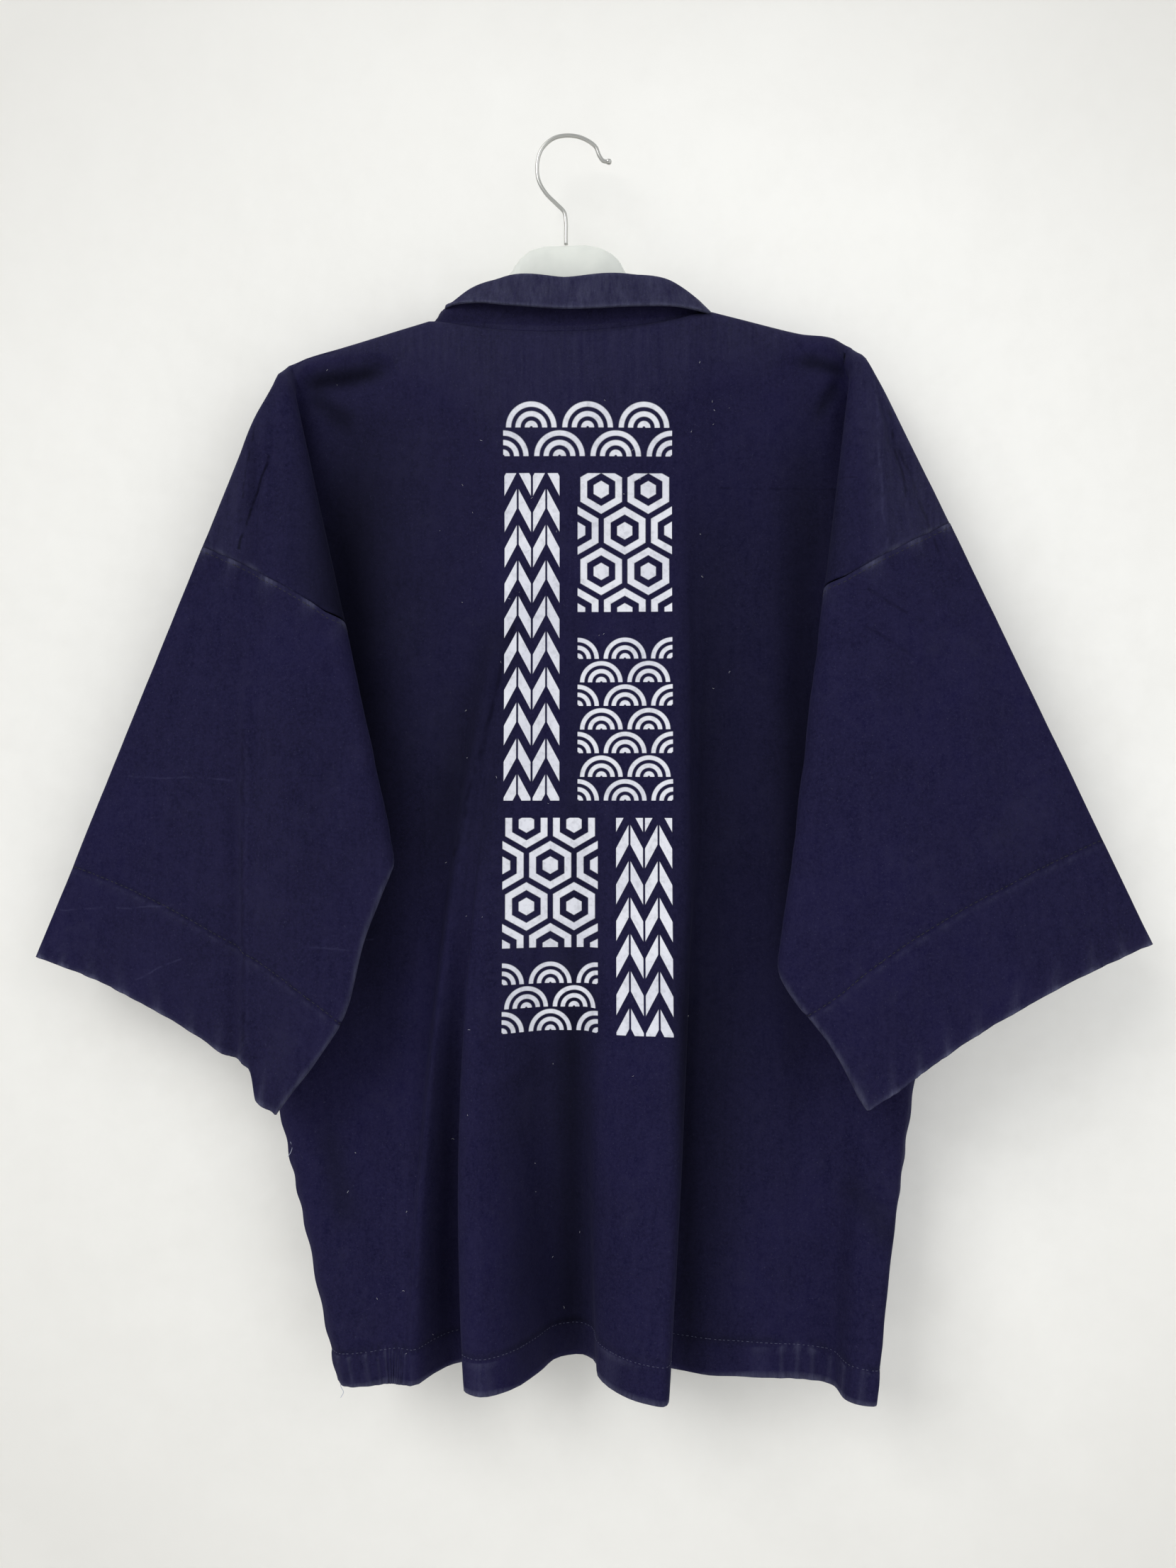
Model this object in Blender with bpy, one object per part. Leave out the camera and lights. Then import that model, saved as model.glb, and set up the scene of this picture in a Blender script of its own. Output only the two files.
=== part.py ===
# Navy happi coat, back view, hanging on a plastic hanger with a wire hook.
# +Z is up, +Y is the wall side where the fronts hang, and the origin is where the hook bears.
# The garment is worked out as a flat T with sloping shoulders, and each sleeve is then
# folded towards the back by one Z-shaped fold that starts at the shoulder point.

import math

import bpy
import numpy as np

MM = 0.001
WALL = 1.5 * MM
SEAM_GAP = 0.3 * MM
ARMHOLE_GAP = 0.5 * MM
TURN_EASE = 1.2 * MM
BODY_LENGTH = 730 * MM
HALF_WIDTH = 342 * MM
NECK_REACH = 98 * MM
SLEEVE_DEPTH = 256 * MM
CUFF_DEPTH = 238 * MM
CUFF_HOLLOW = 0.022
ARMPIT_EASE = 1.4 * MM
POINT_EASE = 0.6 * MM
HEM_HEIGHT = -857 * MM
HEM_SIDE_DROP = 9 * MM
NECK_DIP = 13.7 * MM
NECK_SET_BACK = 13 * MM
TURN_RADIUS = 6.4 * MM
PINCH_REACH = 14 * MM
ROLL_REACH = 4 * MM
LAYER_HALF_GAP = 4.2 * MM
SLEEVE_PUFF = 6 * MM
BAND_WALL = 2.4 * MM

# One row a side: neck and shoulder points in millimetres, the sleeve's length and how much
# longer its underside is, then slopes and the Z-fold. Angles are from level, in degrees.
SIDES = {
    "left": dict(sign=-1, neck=(-98.5, -131), shoulder=(-199.5, -162), length=306, droop=0.030,
                 slope=17.0, hidden_fold=84.5, wedge=26.3, wedge_share=0.708, flap_share=0.866,
                 tilt=((0.0, -0.065), (0.33, -0.080), (0.48, -0.018), (1.0, 0.025))),
    "right": dict(sign=1, neck=(100.0, -124.5), shoulder=(200.5, -150), length=312, droop=0.004,
                  slope=14.2, hidden_fold=74.5, wedge=26.6, wedge_share=0.880, flap_share=0.964,
                  tilt=((0.0, -0.085), (0.30, -0.105), (0.55, -0.085), (1.0, -0.055))),
}

# Lengthwise folds of the back: x on the shoulder line, at half length and at the hem,
# then depth at half length and at the hem, all in millimetres.
BACK_FOLDS = (
    ("left side seam", -335.3, -240, -157.5, -1.1, -31),
    ("left roll", -318, -234, -150, -3.5, -41),
    ("left panel", -262, -200, -132, -4.2, -43),
    ("left ridge", -200, -160, -121, -5, -41),
    ("left hollow", -130, -115, -116, -4, -42),
    ("left neck point", -98.5, -104, -114.5, -4, -43),
    ("foot of long fold", -20, -83, -111, -4, -44),
    ("long fold", 4, -75, -106, -16, -46),
    ("long fold slope", 9, -71, -93, -16, -30),
    ("first valley", 13, -67.5, -80, -15, -16),
    ("under centre fold", 16.5, -65, -62, -15, -12),
    ("turn of centre fold", 19.5, -62.5, -53, -15, -28),
    ("centre fold edge", 23, -60, -68.4, -17, -56),
    ("centre fold crown", 27, -55, -57, -18, -65),
    ("centre fold slope", 32, -44, -39, -16, -57),
    ("centre bank", 38, -28, -21, -14, -33),
    ("centre valley left", 43, -12, -6, -13, -8),
    ("centre valley right", 47, 4, 10, -13, -4),
    ("step foot", 50, 14, 17.5, -13, -12),
    ("step head", 53, 22, 20.5, -14, -37),
    ("right fold bank", 58, 38, 33, -16, -60),
    ("right fold crown", 66, 60, 49, -17, -74),
    ("right fold edge", 80, 81.5, 61.5, -19, -77),
    ("turn of right fold", 85, 85.5, 66, -15, -62),
    ("under right fold", 90, 89, 48, -12, -36),
    ("foot turn", 95, 92.5, 51, -9, -20),
    ("right fold foot", 100, 98, 74, -7, -21),
    ("right trough", 125, 128, 103, -4, -25),
    ("right ridge", 155, 152, 138, -8, -30),
    ("valley by sleeve", 195, 172, 158, -4.2, -29),
    ("right valley floor", 250, 204, 178, -4.2, -33),
    ("right roll", 300, 236, 187, -4.2, -58),
    ("right corner", 325, 258, 201, -3.5, -61),
    ("right side seam", 338.2, 266, 205, -1.1, -40),
)

# Each front shares the back's outer columns. By share of the way from the side seam to the
# collar seam: depth at half length, then depth at the hem and the part of the side seam's
# own hem depth that is added to it, in millimetres.
FRONT_SIDE = ((0.0, 1.1, 2.2, 1.0), (0.06, 4.2, 3.0, 0.9), (0.25, 5, 4, 0.5), (0.5, 6, 4, 0.0))

# Lengthwise folds of each front: share of the way from the side seam to the collar seam on
# the shoulder, at half length and at the hem, then depth in millimetres at the last two.
FRONT_FOLDS = (
    ("fold edge", 0.70, 0.67, 0.78, 8, 10),
    ("fold turn", 0.73, 0.69, 0.80, 9, 14),
    ("under fold", 0.76, 0.705, 0.50, 11, 18),
    ("under turn", 0.79, 0.72, 0.48, 13, 22),
    ("fold foot", 0.83, 0.76, 0.70, 14, 25),
    ("collar seam", 1.0, 1.0, 1.0, 13, 20),
)
FRONT_SEAM_AT_HEM = 70 * MM

# Half depth of the shoulder roll over the hanger, by distance from the centre.
ROLL_DEPTHS = ((0, 13.5), (84, 13.5), (99, 8), (150, 9), (176, 12.5), (186, 10.5), (196, 5.5),
               (203, 4.2), (214, 4))

# Collar band round the neck: x of its seam, then its folded edge and its free edge as
# x, y, z in millimetres.
NECK_ROWS = (
    ("left neck side", -93, (-87, -4.0, -120), (-91, -8.5, -121.5)),
    ("left back side", -74, (-66, -11.5, -111), (-66, -17, -122.5)),
    ("left back", -45, (-44, -15.5, -104.8), (-42, -21.5, -126)),
    ("centre", 0, (0, -17.3, -105.8), (2, -23.5, -129.2)),
    ("right back", 45, (45, -16, -103.4), (45, -22, -127)),
    ("right back side", 76, (69, -12.5, -106.5), (76, -18, -126)),
    ("right neck side", 94.5, (89, -4.5, -116.5), (95, -9, -123)),
)
# Collar band down one front: seam, folded edge and free edge.
CHEST_ROWS = (
    ("over shoulder", (-98, 10.5, -130.5), (-91, 13.5, -121.5), (-85, 16.5, -123)),
    ("chest top", (-92, 16.5, -150), (-71, 19.5, -152), (-49, 19.5, -160)),
    ("chest", (-87, 17.5, -230), (-57, 20.5, -232), (-28, 20.5, -236)),
    ("chest low", (-77, 18.0, -330), (-46, 21.0, -331), (-16, 21.0, -332)),
    ("waist", (-71, 19.0, -450), (-40, 22.0, -450), (-10, 22.0, -450)),
    ("hem", (-69.5, 24.5, -861), (-39, 26.0, -861), (-9, 26.0, -861)),
)
NECK_RISE = 6 * MM

# Hanger body: distance along it, then its top and underside from the ridge of the cloth
# above it, or from the arms' root line inside the neck, and half its depth.
HANGER_ROWS = (
    ("left tip", -190, -5, -13, 2.0),
    ("left end", -178, -2.0, -24, 8.4),
    ("left arm", -150, -1.3, -18, 5.6),
    ("left neck", -103, -1.5, -18, 4.6),
    ("left side", -84, -1, -20, 4.2),
    ("left root", -62, 3, -20, 5),
    ("hump foot left", -43, 38, -21, 5),
    ("hump left", -35, 50, -22, 5),
    ("hump shoulder left", -28, 56, -22, 5),
    ("hump top left", -17.5, 59, -22, 5),
    ("hump top", 12, 60, -22, 5),
    ("hump shoulder right", 22.5, 58, -22, 5),
    ("hump right", 31, 53.5, -22, 5),
    ("hump side right", 36.5, 47, -21, 5),
    ("hump foot right", 41, 39, -21, 5),
    ("right root", 62, 3, -20, 5),
    ("right side", 84, -1, -20, 4.2),
    ("right neck", 104, -1.5, -18, 4.6),
    ("right arm", 150, -1.3, -18, 5.6),
    ("right end", 179, -2.0, -24, 8.4),
    ("right tip", 191, -5, -13, 2.0),
)
HANGER_ROOT_LINE = -136 * MM
HOOK_RADIUS = 1.4 * MM
# Centre line of the hook's wire in the wall's plane: x, z in millimetres.
HOOK_POINTS = (
    (-2.3, -75.6), (-2.3, -68), (-2.3, -60), (-3.5, -53), (-9, -47), (-16, -40),
    (-21.3, -31), (-22.6, -20), (-19.5, -8.5), (-11, -0.6), (0, 1.4), (11, -1.2),
    (18.8, -7), (21.6, -13.5), (23.8, -16.4), (28.2, -17.2),
)
# Places of the rows across a turn, from its middle to either side.
TURN_STEPS = (-1, -0.45, 0, 0.45, 1)


def smooth(t):
    t = np.clip(t, 0, 1)
    return t * t * (3 - 2 * t)


def through_three(start, middle, end, t):
    """Parabola through a start, a middle at t = 0.5 and an end."""
    return (start * (1 - 3 * t + 2 * t * t) + middle * (4 * t - 4 * t * t)
            + end * (2 * t * t - t))


def growth(start, middle, end, t):
    """Depth of a fold down the length: level start, then a cone from half length."""
    lower = np.clip(2 * t - 1, 0, 1) ** 1.25
    return start + (middle - start) * smooth((t - 0.14) / 0.36) + (end - middle) * lower


def chord_spline(points, counts):
    """Curve through points (rows, nodes, 2) with tangents weighted by chord length."""
    steps = np.linalg.norm(np.diff(points, axis=1), axis=2) + 1e-6
    slopes = np.diff(points, axis=1) / steps[..., None]
    before, after = steps[:, :-1, None], steps[:, 1:, None]
    inner = (slopes[:, :-1] * after + slopes[:, 1:] * before) / (before + after)
    tangents = np.concatenate([slopes[:, :1], inner, slopes[:, -1:]], axis=1)
    pieces = []
    for i, count in enumerate(counts):
        t = (np.arange(count) / count)[None, :, None]
        chord = steps[:, i, None, None]
        pieces.append((2 * t**3 - 3 * t**2 + 1) * points[:, i, None]
                      + (t**3 - 2 * t**2 + t) * chord * tangents[:, i, None]
                      + (3 * t**2 - 2 * t**3) * points[:, i + 1, None]
                      + (t**3 - t**2) * chord * tangents[:, i + 1, None])
    pieces.append(points[:, -1:])
    return np.concatenate(pieces, axis=1)


def shoulder_height(x):
    """Height of the neck seam, shoulders and the straight lines that carry them on."""
    left, right = SIDES["left"], SIDES["right"]
    rise = (right["neck"][1] - left["neck"][1]) / (right["neck"][0] - left["neck"][0])
    height = left["neck"][1] * MM + rise * (x - left["neck"][0] * MM)
    height = height - NECK_DIP * np.clip(1 - (x / NECK_REACH) ** 2, 0, 1)
    for side in SIDES.values():
        sign = side["sign"]
        reach = x * sign
        neck_x, neck_z = side["neck"][0] * sign * MM, side["neck"][1] * MM
        end_x, end_z = side["shoulder"][0] * sign * MM, side["shoulder"][1] * MM
        fall = math.tan(math.radians(side["slope"]))
        ridge = neck_z + (end_z - neck_z) * (reach - neck_x) / (end_x - neck_x)
        beyond = end_z - (reach - end_x) * fall
        height = np.where(reach > neck_x, np.where(reach > end_x, beyond, ridge), height)
    return height


def roll_depth(x):
    reach, depth = np.array(ROLL_DEPTHS).T * MM
    return np.interp(np.abs(x), reach, depth)


def neck_set_back(x):
    """How far the neck's edge stands behind the shoulder line."""
    return NECK_SET_BACK * np.sqrt(np.clip(1 - (x / NECK_REACH) ** 2, 0, 1))


def body_point(top_x, x, depth, down, face):
    """Places flat points: the top roll over the hanger blends into the fold's depth."""
    roll = roll_depth(top_x)
    seam_half = SEAM_GAP / 2 + POINT_EASE * smooth((np.abs(top_x) - 165 * MM) / (15 * MM))
    start = np.maximum(neck_set_back(top_x), seam_half)
    radius = np.maximum(roll - start, 0.5 * MM)
    beta = np.clip(down / radius, 0, math.pi / 2)
    over = start + radius * np.sin(beta)
    fallen = smooth(down / (170 * MM))
    y = face * over * (1 - fallen) + depth * fallen
    top = shoulder_height(top_x)
    hem = HEM_HEIGHT - HEM_SIDE_DROP * np.minimum((x / (200 * MM)) ** 2, 1.2)
    rounded = radius * (1 - np.cos(beta)) + np.maximum(down - radius * math.pi / 2, 0)
    spared = (down - rounded) * (1 - smooth(down / (300 * MM)))
    z = top + (hem - top) * down / BODY_LENGTH + spared
    return np.stack([x, y, z], axis=-1)


def fold_sleeve(points, side):
    """The Z-fold: turns the cloth beyond the shoulder back over itself, twice."""
    sign = side["sign"]
    apex_x, apex_z = side["shoulder"][0] * MM, side["shoulder"][1] * MM
    hidden = math.radians(side["hidden_fold"])
    wedge = math.radians(side["wedge"])
    slope = math.radians(side["slope"])
    out = (points[..., 0] - apex_x) * sign
    up = points[..., 2] - apex_z
    rho = np.hypot(out, up) + 1e-9
    angle = np.arctan2(-up, out)
    angle = np.where(angle < -2.0, angle + 2 * math.pi, angle)
    pinch = np.clip(rho / PINCH_REACH, 0.3, 1)
    arc = rho * (hidden - angle)
    inner_arc = rho * wedge
    width = math.pi * TURN_RADIUS * pinch
    steps = 96
    fraction = (np.arange(steps) + 0.5) / steps
    low = -width
    span = np.maximum(arc - low, 0)
    position = low[..., None] + span[..., None] * fraction

    def part_turned(where, full):
        share = np.clip(where / full + 0.5, 0, 1)
        return 0.75 * share + 0.25 * smooth(share)

    first = part_turned(position, width[..., None])
    second = part_turned(position - inner_arc[..., None], width[..., None])
    theta = math.pi * (first - second)
    share = (1 + (side["wedge_share"] - 1) * first
             + (side["flap_share"] - side["wedge_share"]) * second)
    step = span / steps
    along = low + (share * np.cos(theta)).sum(-1) * step + np.minimum(arc - low, 0)
    depth = -np.sin(theta).sum(-1) * step
    now = math.pi * (part_turned(arc, width) - part_turned(arc - inner_arc, width))
    offset = points[..., 1] * pinch
    along = along + offset * np.sin(now)
    depth = depth + offset * np.cos(now)
    line_one = hidden - wedge
    stage = (line_one - angle) / (line_one - slope)
    share_at, tilt_at = np.array(side["tilt"]).T
    tilt = np.interp(np.clip(stage, 0, 1), share_at, tilt_at)
    spread = 0.07
    tilt = (tilt + np.interp(np.clip(stage - spread, 0, 1), share_at, tilt_at)
            + np.interp(np.clip(stage + spread, 0, 1), share_at, tilt_at)) / 3
    ramp = smooth(arc / np.maximum(inner_arc, 1e-6)) * smooth(rho / (150 * MM))
    depth = depth + rho * tilt * ramp
    turned = hidden - along / rho
    folded = np.stack([apex_x + sign * rho * np.cos(turned), depth,
                       apex_z - rho * np.sin(turned)], axis=-1)
    active = (arc > low) & (out > -60 * MM)
    flat = np.stack([points[..., 0], offset, points[..., 2]], axis=-1)
    return np.where(active[..., None], folded, flat)


def fold_both(points):
    left = fold_sleeve(points, SIDES["left"])
    right = fold_sleeve(points, SIDES["right"])
    return np.where((points[..., 0] < 0)[..., None], left, right)


def normals_of(grid):
    along = np.gradient(grid, axis=0)
    across = np.gradient(grid, axis=1)
    normal = np.cross(across, along)
    return normal / (np.linalg.norm(normal, axis=-1, keepdims=True) + 1e-12)


def add_material(obj, colour, roughness, metallic):
    material = bpy.data.materials.new(obj.name)
    material.use_nodes = True
    shader = material.node_tree.nodes["Principled BSDF"]
    shader.inputs["Base Color"].default_value = (*colour, 1)
    shader.inputs["Roughness"].default_value = roughness
    shader.inputs["Metallic"].default_value = metallic
    obj.data.materials.append(material)


def add_mesh(name, vertices, faces, colour, roughness=0.9, metallic=0.0):
    mesh = bpy.data.meshes.new(name)
    mesh.from_pydata(vertices.tolist(), [], faces)
    mesh.update()
    obj = bpy.data.objects.new(name, mesh)
    bpy.context.scene.collection.objects.link(obj)
    mesh.shade_smooth()
    add_material(obj, colour, roughness, metallic)
    return obj


def closed_wall(name, outer, inner, colour, **finish):
    """Closed sheet from two grids of the same size, joined round their edges."""
    rows, cols = outer.shape[:2]
    count = rows * cols
    index = np.arange(count).reshape(rows, cols)
    faces = []
    for r in range(rows - 1):
        for c in range(cols - 1):
            quad = (index[r, c], index[r, c + 1], index[r + 1, c + 1], index[r + 1, c])
            faces.append(tuple(int(i) for i in quad))
            faces.append(tuple(int(i) + count for i in reversed(quad)))
    ring = (list(index[0, :]) + list(index[1:, -1]) + list(index[-1, -2::-1])
            + list(index[-2:0:-1, 0]))
    for a, b in zip(ring, ring[1:] + ring[:1]):
        faces.append((int(b), int(a), int(a) + count, int(b) + count))
    vertices = np.concatenate([outer.reshape(-1, 3), inner.reshape(-1, 3)])
    return add_mesh(name, vertices, faces, colour, **finish)


def closed_tube(name, outer, inner, colour, **finish):
    """Closed wall from two stacks of rings, joined at the first and last ring."""
    rows, cols = outer.shape[:2]
    count = rows * cols
    index = np.arange(count).reshape(rows, cols)
    faces = []
    for r in range(rows - 1):
        for c in range(cols):
            d = (c + 1) % cols
            quad = [int(i) for i in (index[r, c], index[r, d], index[r + 1, d], index[r + 1, c])]
            faces.append(tuple(quad))
            faces.append(tuple(i + count for i in reversed(quad)))
    for r, flip in ((0, True), (rows - 1, False)):
        for c in range(cols):
            d = (c + 1) % cols
            a, b = int(index[r, c]), int(index[r, d])
            rim = (b, a, a + count, b + count)
            faces.append(tuple(rim if flip else reversed(rim)))
    vertices = np.concatenate([outer.reshape(-1, 3), inner.reshape(-1, 3)])
    return add_mesh(name, vertices, faces, colour, **finish)


def crossing(side, top_x, mid_x, hem_x, angle):
    """Distance down a column at which it meets a ray from the shoulder point."""
    down = np.linspace(0, BODY_LENGTH, 300)
    x = through_three(top_x, mid_x, hem_x, down / BODY_LENGTH)
    points = body_point(np.full_like(down, top_x), x, np.zeros_like(down), down, 0)
    out = (points[:, 0] - side["shoulder"][0] * MM) * side["sign"]
    ray = np.degrees(np.arctan2(side["shoulder"][1] * MM - points[:, 2], out))
    return float(np.interp(angle, ray, down))


def row_plan(top_x, mid_x, hem_x):
    """Distances down one column, close together where the cloth turns."""
    side = SIDES["left"] if top_x < 0 else SIDES["right"]
    beyond = top_x * side["sign"] - abs(side["shoulder"][0]) * MM
    if beyond > 1 * MM:
        one = crossing(side, top_x, mid_x, hem_x, side["hidden_fold"] - side["wedge"])
        two = crossing(side, top_x, mid_x, hem_x, side["hidden_fold"])
    else:
        one = 8 * MM - beyond * 0.28
        two = 22 * MM - beyond * 0.9
    one = max(one, 8 * MM)
    two = max(two, one + 14 * MM)
    roll = float(roll_depth(np.array(top_x))) * math.pi / 2
    roll = min(roll, one * 0.6)
    half_one = min(14 * MM, (one - roll) * 0.45, (two - one) * 0.3)
    half_two = min(28 * MM, (two - one) * 0.45)
    low = two + half_two
    rows = [0, roll * 0.5, roll, (roll + one - half_one) / 2]
    rows += [one + half_one * k for k in TURN_STEPS]
    passed = one + half_one
    level = min(max(SLEEVE_DEPTH, passed + (two - half_two - passed) * 0.4),
                passed + (two - half_two - passed) * 0.8)
    rows += [(passed + level) / 2, level]
    rows += [two + half_two * k for k in (-1, -0.4, 0.3, 1)]
    rows += list(low + (BODY_LENGTH - low) * np.linspace(0, 1, 11)[1:])
    return rows


def back_grid(counts):
    table = np.array([row[1:] for row in BACK_FOLDS]) * MM
    top, mid, hem, mid_y, hem_y = table.T
    plans = np.array([row_plan(a, b, c) for a, b, c in zip(top, mid, hem)])
    down = plans.T
    t = down / BODY_LENGTH
    x = through_three(top, mid, hem, t)
    y = growth(-LAYER_HALF_GAP, mid_y, hem_y, t)
    plan = chord_spline(np.stack([x, y], axis=-1), counts)
    level = chord_spline(np.stack([np.broadcast_to(top, x.shape), down], axis=-1), counts)
    return body_point(level[..., 0], plan[..., 0], plan[..., 1], level[..., 1], -1)


def wall_faces(grid, thickness):
    """Both faces of a wall, square to the shoulder, the neck and the armhole edges."""
    normal = normals_of(grid)
    neck = np.abs(grid[0, :, 0]) < NECK_REACH
    normal[0, :, 1] *= neck
    normal[0, :, 2] *= ~neck
    for column in (0, -1):
        x = grid[0, column, 0]
        if abs(x) < HALF_WIDTH - 10 * MM:
            continue
        side = SIDES["left"] if x < 0 else SIDES["right"]
        slope = math.radians(side["slope"])
        outward = np.array([side["sign"] * math.cos(slope), 0, -math.sin(slope)])
        normal[:, column] -= (normal[:, column] @ outward)[:, None] * outward
    normal /= np.linalg.norm(normal, axis=-1, keepdims=True)
    half = thickness / 2
    return grid + normal * half, grid - normal * half


def build_back():
    counts = [2, 2, 2, 4, 1, 4, 2, 1, 1, 1, 2, 2, 2, 2, 1, 2, 2, 1, 2, 1, 2, 2, 2, 2, 1, 1, 2, 2,
              3, 2, 2, 2, 2]
    grid = back_grid(counts)
    outer, inner = wall_faces(grid, WALL)
    closed_wall("back", fold_both(outer), fold_both(inner), NAVY)


def front_columns(side):
    """Column table of one front, from its side seam to its collar seam."""
    sign = side["sign"]
    shared = BACK_FOLDS[:4] if sign < 0 else BACK_FOLDS[:-6:-1]
    top, mid, hem, _, hem_y = np.array([row[1:] for row in shared]).T * MM
    seam_mid, seam_hem = sign * 76 * MM, sign * FRONT_SEAM_AT_HEM
    share_at, mid_at, hem_at, part_at = np.array(FRONT_SIDE).T
    mid_share = (mid - mid[0]) / (seam_mid - mid[0])
    hem_share = (hem - hem[0]) / (seam_hem - hem[0])
    side_mid = np.interp(mid_share, share_at, mid_at) * MM
    side_hem = (np.interp(hem_share, share_at, hem_at) * MM
                + np.interp(hem_share, share_at, part_at) * hem_y[0])
    rows = np.array([row[1:] for row in FRONT_FOLDS])
    top = np.append(top, top[0] + (side["neck"][0] * MM - top[0]) * rows[:, 0])
    mid = np.append(mid, mid[0] + (seam_mid - mid[0]) * rows[:, 1])
    hem = np.append(hem, hem[0] + (seam_hem - hem[0]) * rows[:, 2])
    return (top, mid, hem, np.append(side_mid, rows[:, 3] * MM),
            np.append(side_hem, rows[:, 4] * MM))


def build_front(name, side):
    top, mid, hem, mid_y, hem_y = front_columns(side)
    down = np.array([row_plan(a, b, c) for a, b, c in zip(top, mid, hem)]).T
    t = down / BODY_LENGTH
    x = through_three(top, mid, hem, t)
    y = growth(LAYER_HALF_GAP, mid_y, hem_y, t)
    counts = [2] * (len(top) - 6) + [1, 1, 1, 1, 3]
    plan = chord_spline(np.stack([x, y], axis=-1), counts)
    level = chord_spline(np.stack([np.broadcast_to(top, x.shape), down], axis=-1), counts)
    grid = body_point(level[..., 0], plan[..., 0], plan[..., 1], level[..., 1], 1)
    outer, inner = wall_faces(grid, WALL)
    if side["sign"] < 0:
        outer, inner = inner, outer
        outer, inner = outer[:, ::-1], inner[:, ::-1]
    else:
        outer, inner = inner[:, ::-1], outer[:, ::-1]
    closed_wall(name, fold_both(outer), fold_both(inner), NAVY)


def sleeve_grid(side, half):
    """Rings of the flat tube, at half the wall's distance from its middle."""
    sign = side["sign"]
    edge = BACK_FOLDS[0] if sign < 0 else BACK_FOLDS[-1]
    top_x, mid_x, hem_x = (edge[i] * MM for i in (1, 2, 3))
    angle_one = side["hidden_fold"] - side["wedge"]
    slope = math.radians(side["slope"])
    length = side["length"] * MM
    edge_rows = row_plan(top_x, mid_x, hem_x)[:9]
    start = edge_rows[6]
    ray = math.radians(angle_one) - slope
    tangent = np.array([sign * math.cos(slope), 0, -math.sin(slope)])
    upward = np.array([sign * math.sin(slope), 0, math.cos(slope)])
    rings = []
    for t in np.concatenate([[ARMHOLE_GAP], np.linspace(14 * MM, length, 16)]):
        bottom = SLEEVE_DEPTH + (CUFF_DEPTH - SLEEVE_DEPTH) * t / length
        one = min(start + t * math.tan(ray), bottom - 26 * MM)
        shift = one - start
        last = edge_rows[8] + shift
        down = edge_rows[:3] + [edge_rows[3] + shift * 0.5]
        down += [row + shift for row in edge_rows[4:9]]
        down += [(last + bottom) / 2, max(bottom - 5 * MM, (last + bottom) / 2 + 1 * MM),
                 bottom - 1 * MM]
        down = np.array(down)
        x = through_three(top_x, mid_x, hem_x, down / BODY_LENGTH)
        edge_points = body_point(np.full_like(down, top_x), x, np.zeros_like(down), down, 0)
        open_by = smooth(t / (90 * MM)) * SLEEVE_PUFF * np.sin(math.pi * np.clip(down / one, 0, 1))
        seam_half = growth(LAYER_HALF_GAP, 1.1 * MM, 1.1 * MM, down / BODY_LENGTH)
        roll = np.sqrt(np.clip(1 - (1 - down / ROLL_REACH).clip(0, 1) ** 2, 0, 1))
        close = 0.35 + 0.65 * np.sqrt(np.clip((bottom - down) / (3 * MM), 0, 1))
        gap = np.where(down < 0.1 * MM, 0, roll * close)
        behind = np.maximum((seam_half + open_by) * gap + half, 0)
        before = np.maximum((seam_half + open_by * 0.25) * gap + half, 0)
        behind[0] = 0
        lift = np.zeros_like(down)
        lift[0] = half
        share = down / bottom
        stretch = 1 + side["droop"] * share ** 4 - CUFF_HOLLOW * np.sin(math.pi * share)
        at_turn = np.exp(-((down - one) / (16 * MM)) ** 2)
        reach = t * stretch + ARMPIT_EASE * share ** 3 + TURN_EASE * at_turn
        base = edge_points + reach[:, None] * tangent
        back = base + upward * lift[:, None]
        back[:, 1] = -behind
        front = base[1:][::-1].copy()
        front[:, 1] = before[1:][::-1]
        cap = base[-1:] - upward * (1 * MM + half)
        cap[:, 1] = 0
        rings.append(np.concatenate([back, cap, front]))
    return np.array(rings)


def build_sleeve(name, side):
    outer = fold_both(sleeve_grid(side, WALL / 2))
    inner = fold_both(sleeve_grid(side, -WALL / 2))
    if side["sign"] < 0:
        outer, inner = outer[:, ::-1], inner[:, ::-1]
    closed_tube(name, outer, inner, NAVY)


def collar_guides():
    """Rows of the band from one hem to the other, each its seam, fold and free edge."""
    neck = []
    for _, seam_x, fold, free in NECK_ROWS:
        x = seam_x * MM
        seam = (seam_x, -neck_set_back(x) / MM, float(shoulder_height(np.array(x)) + 2 * SEAM_GAP) / MM)
        neck.append((seam, fold, free))
    left = np.array([row[1:] for row in CHEST_ROWS], dtype=float)
    right = left.copy()
    right[..., 0] = 1.5 * smooth(-left[..., 0] / 60) - left[..., 0]
    right[:2, :, 2] += NECK_RISE / MM * np.array([1, 0.6])[:, None]
    return np.concatenate([left[::-1], np.array(neck), right]) * MM


def build_collar():
    """Band with a rounded fold, lofted through its rows from hem to hem."""
    guides = collar_guides()
    flat = guides.reshape(len(guides), 9)
    counts = [4, 3, 2, 2, 2, 2, 2, 2, 3, 3, 2, 2, 2, 2, 2, 2, 3, 4]
    lines = [chord_spline(np.stack([flat[:, 3 * k:3 * k + 3]]), counts)[0] for k in range(3)]
    seam, fold, free = lines
    path = np.stack([seam, (seam + fold) / 2, fold, (fold + free) / 2, free], axis=1)
    grid = chord_spline(path, [1, 2, 2, 1])
    grid[:, 3] += (path[:, 2] - grid[:, 3]) * 0.15
    normal = normals_of(grid)
    neck = (np.abs(grid[:, 0, 0]) < NECK_REACH) & (grid[:, 0, 1] < 0)
    normal[neck, 0, 2] = 0
    normal /= np.linalg.norm(normal, axis=-1, keepdims=True)
    half = BAND_WALL / 2
    closed_wall("collar", grid + normal * half, grid - normal * half, NAVY)


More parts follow.
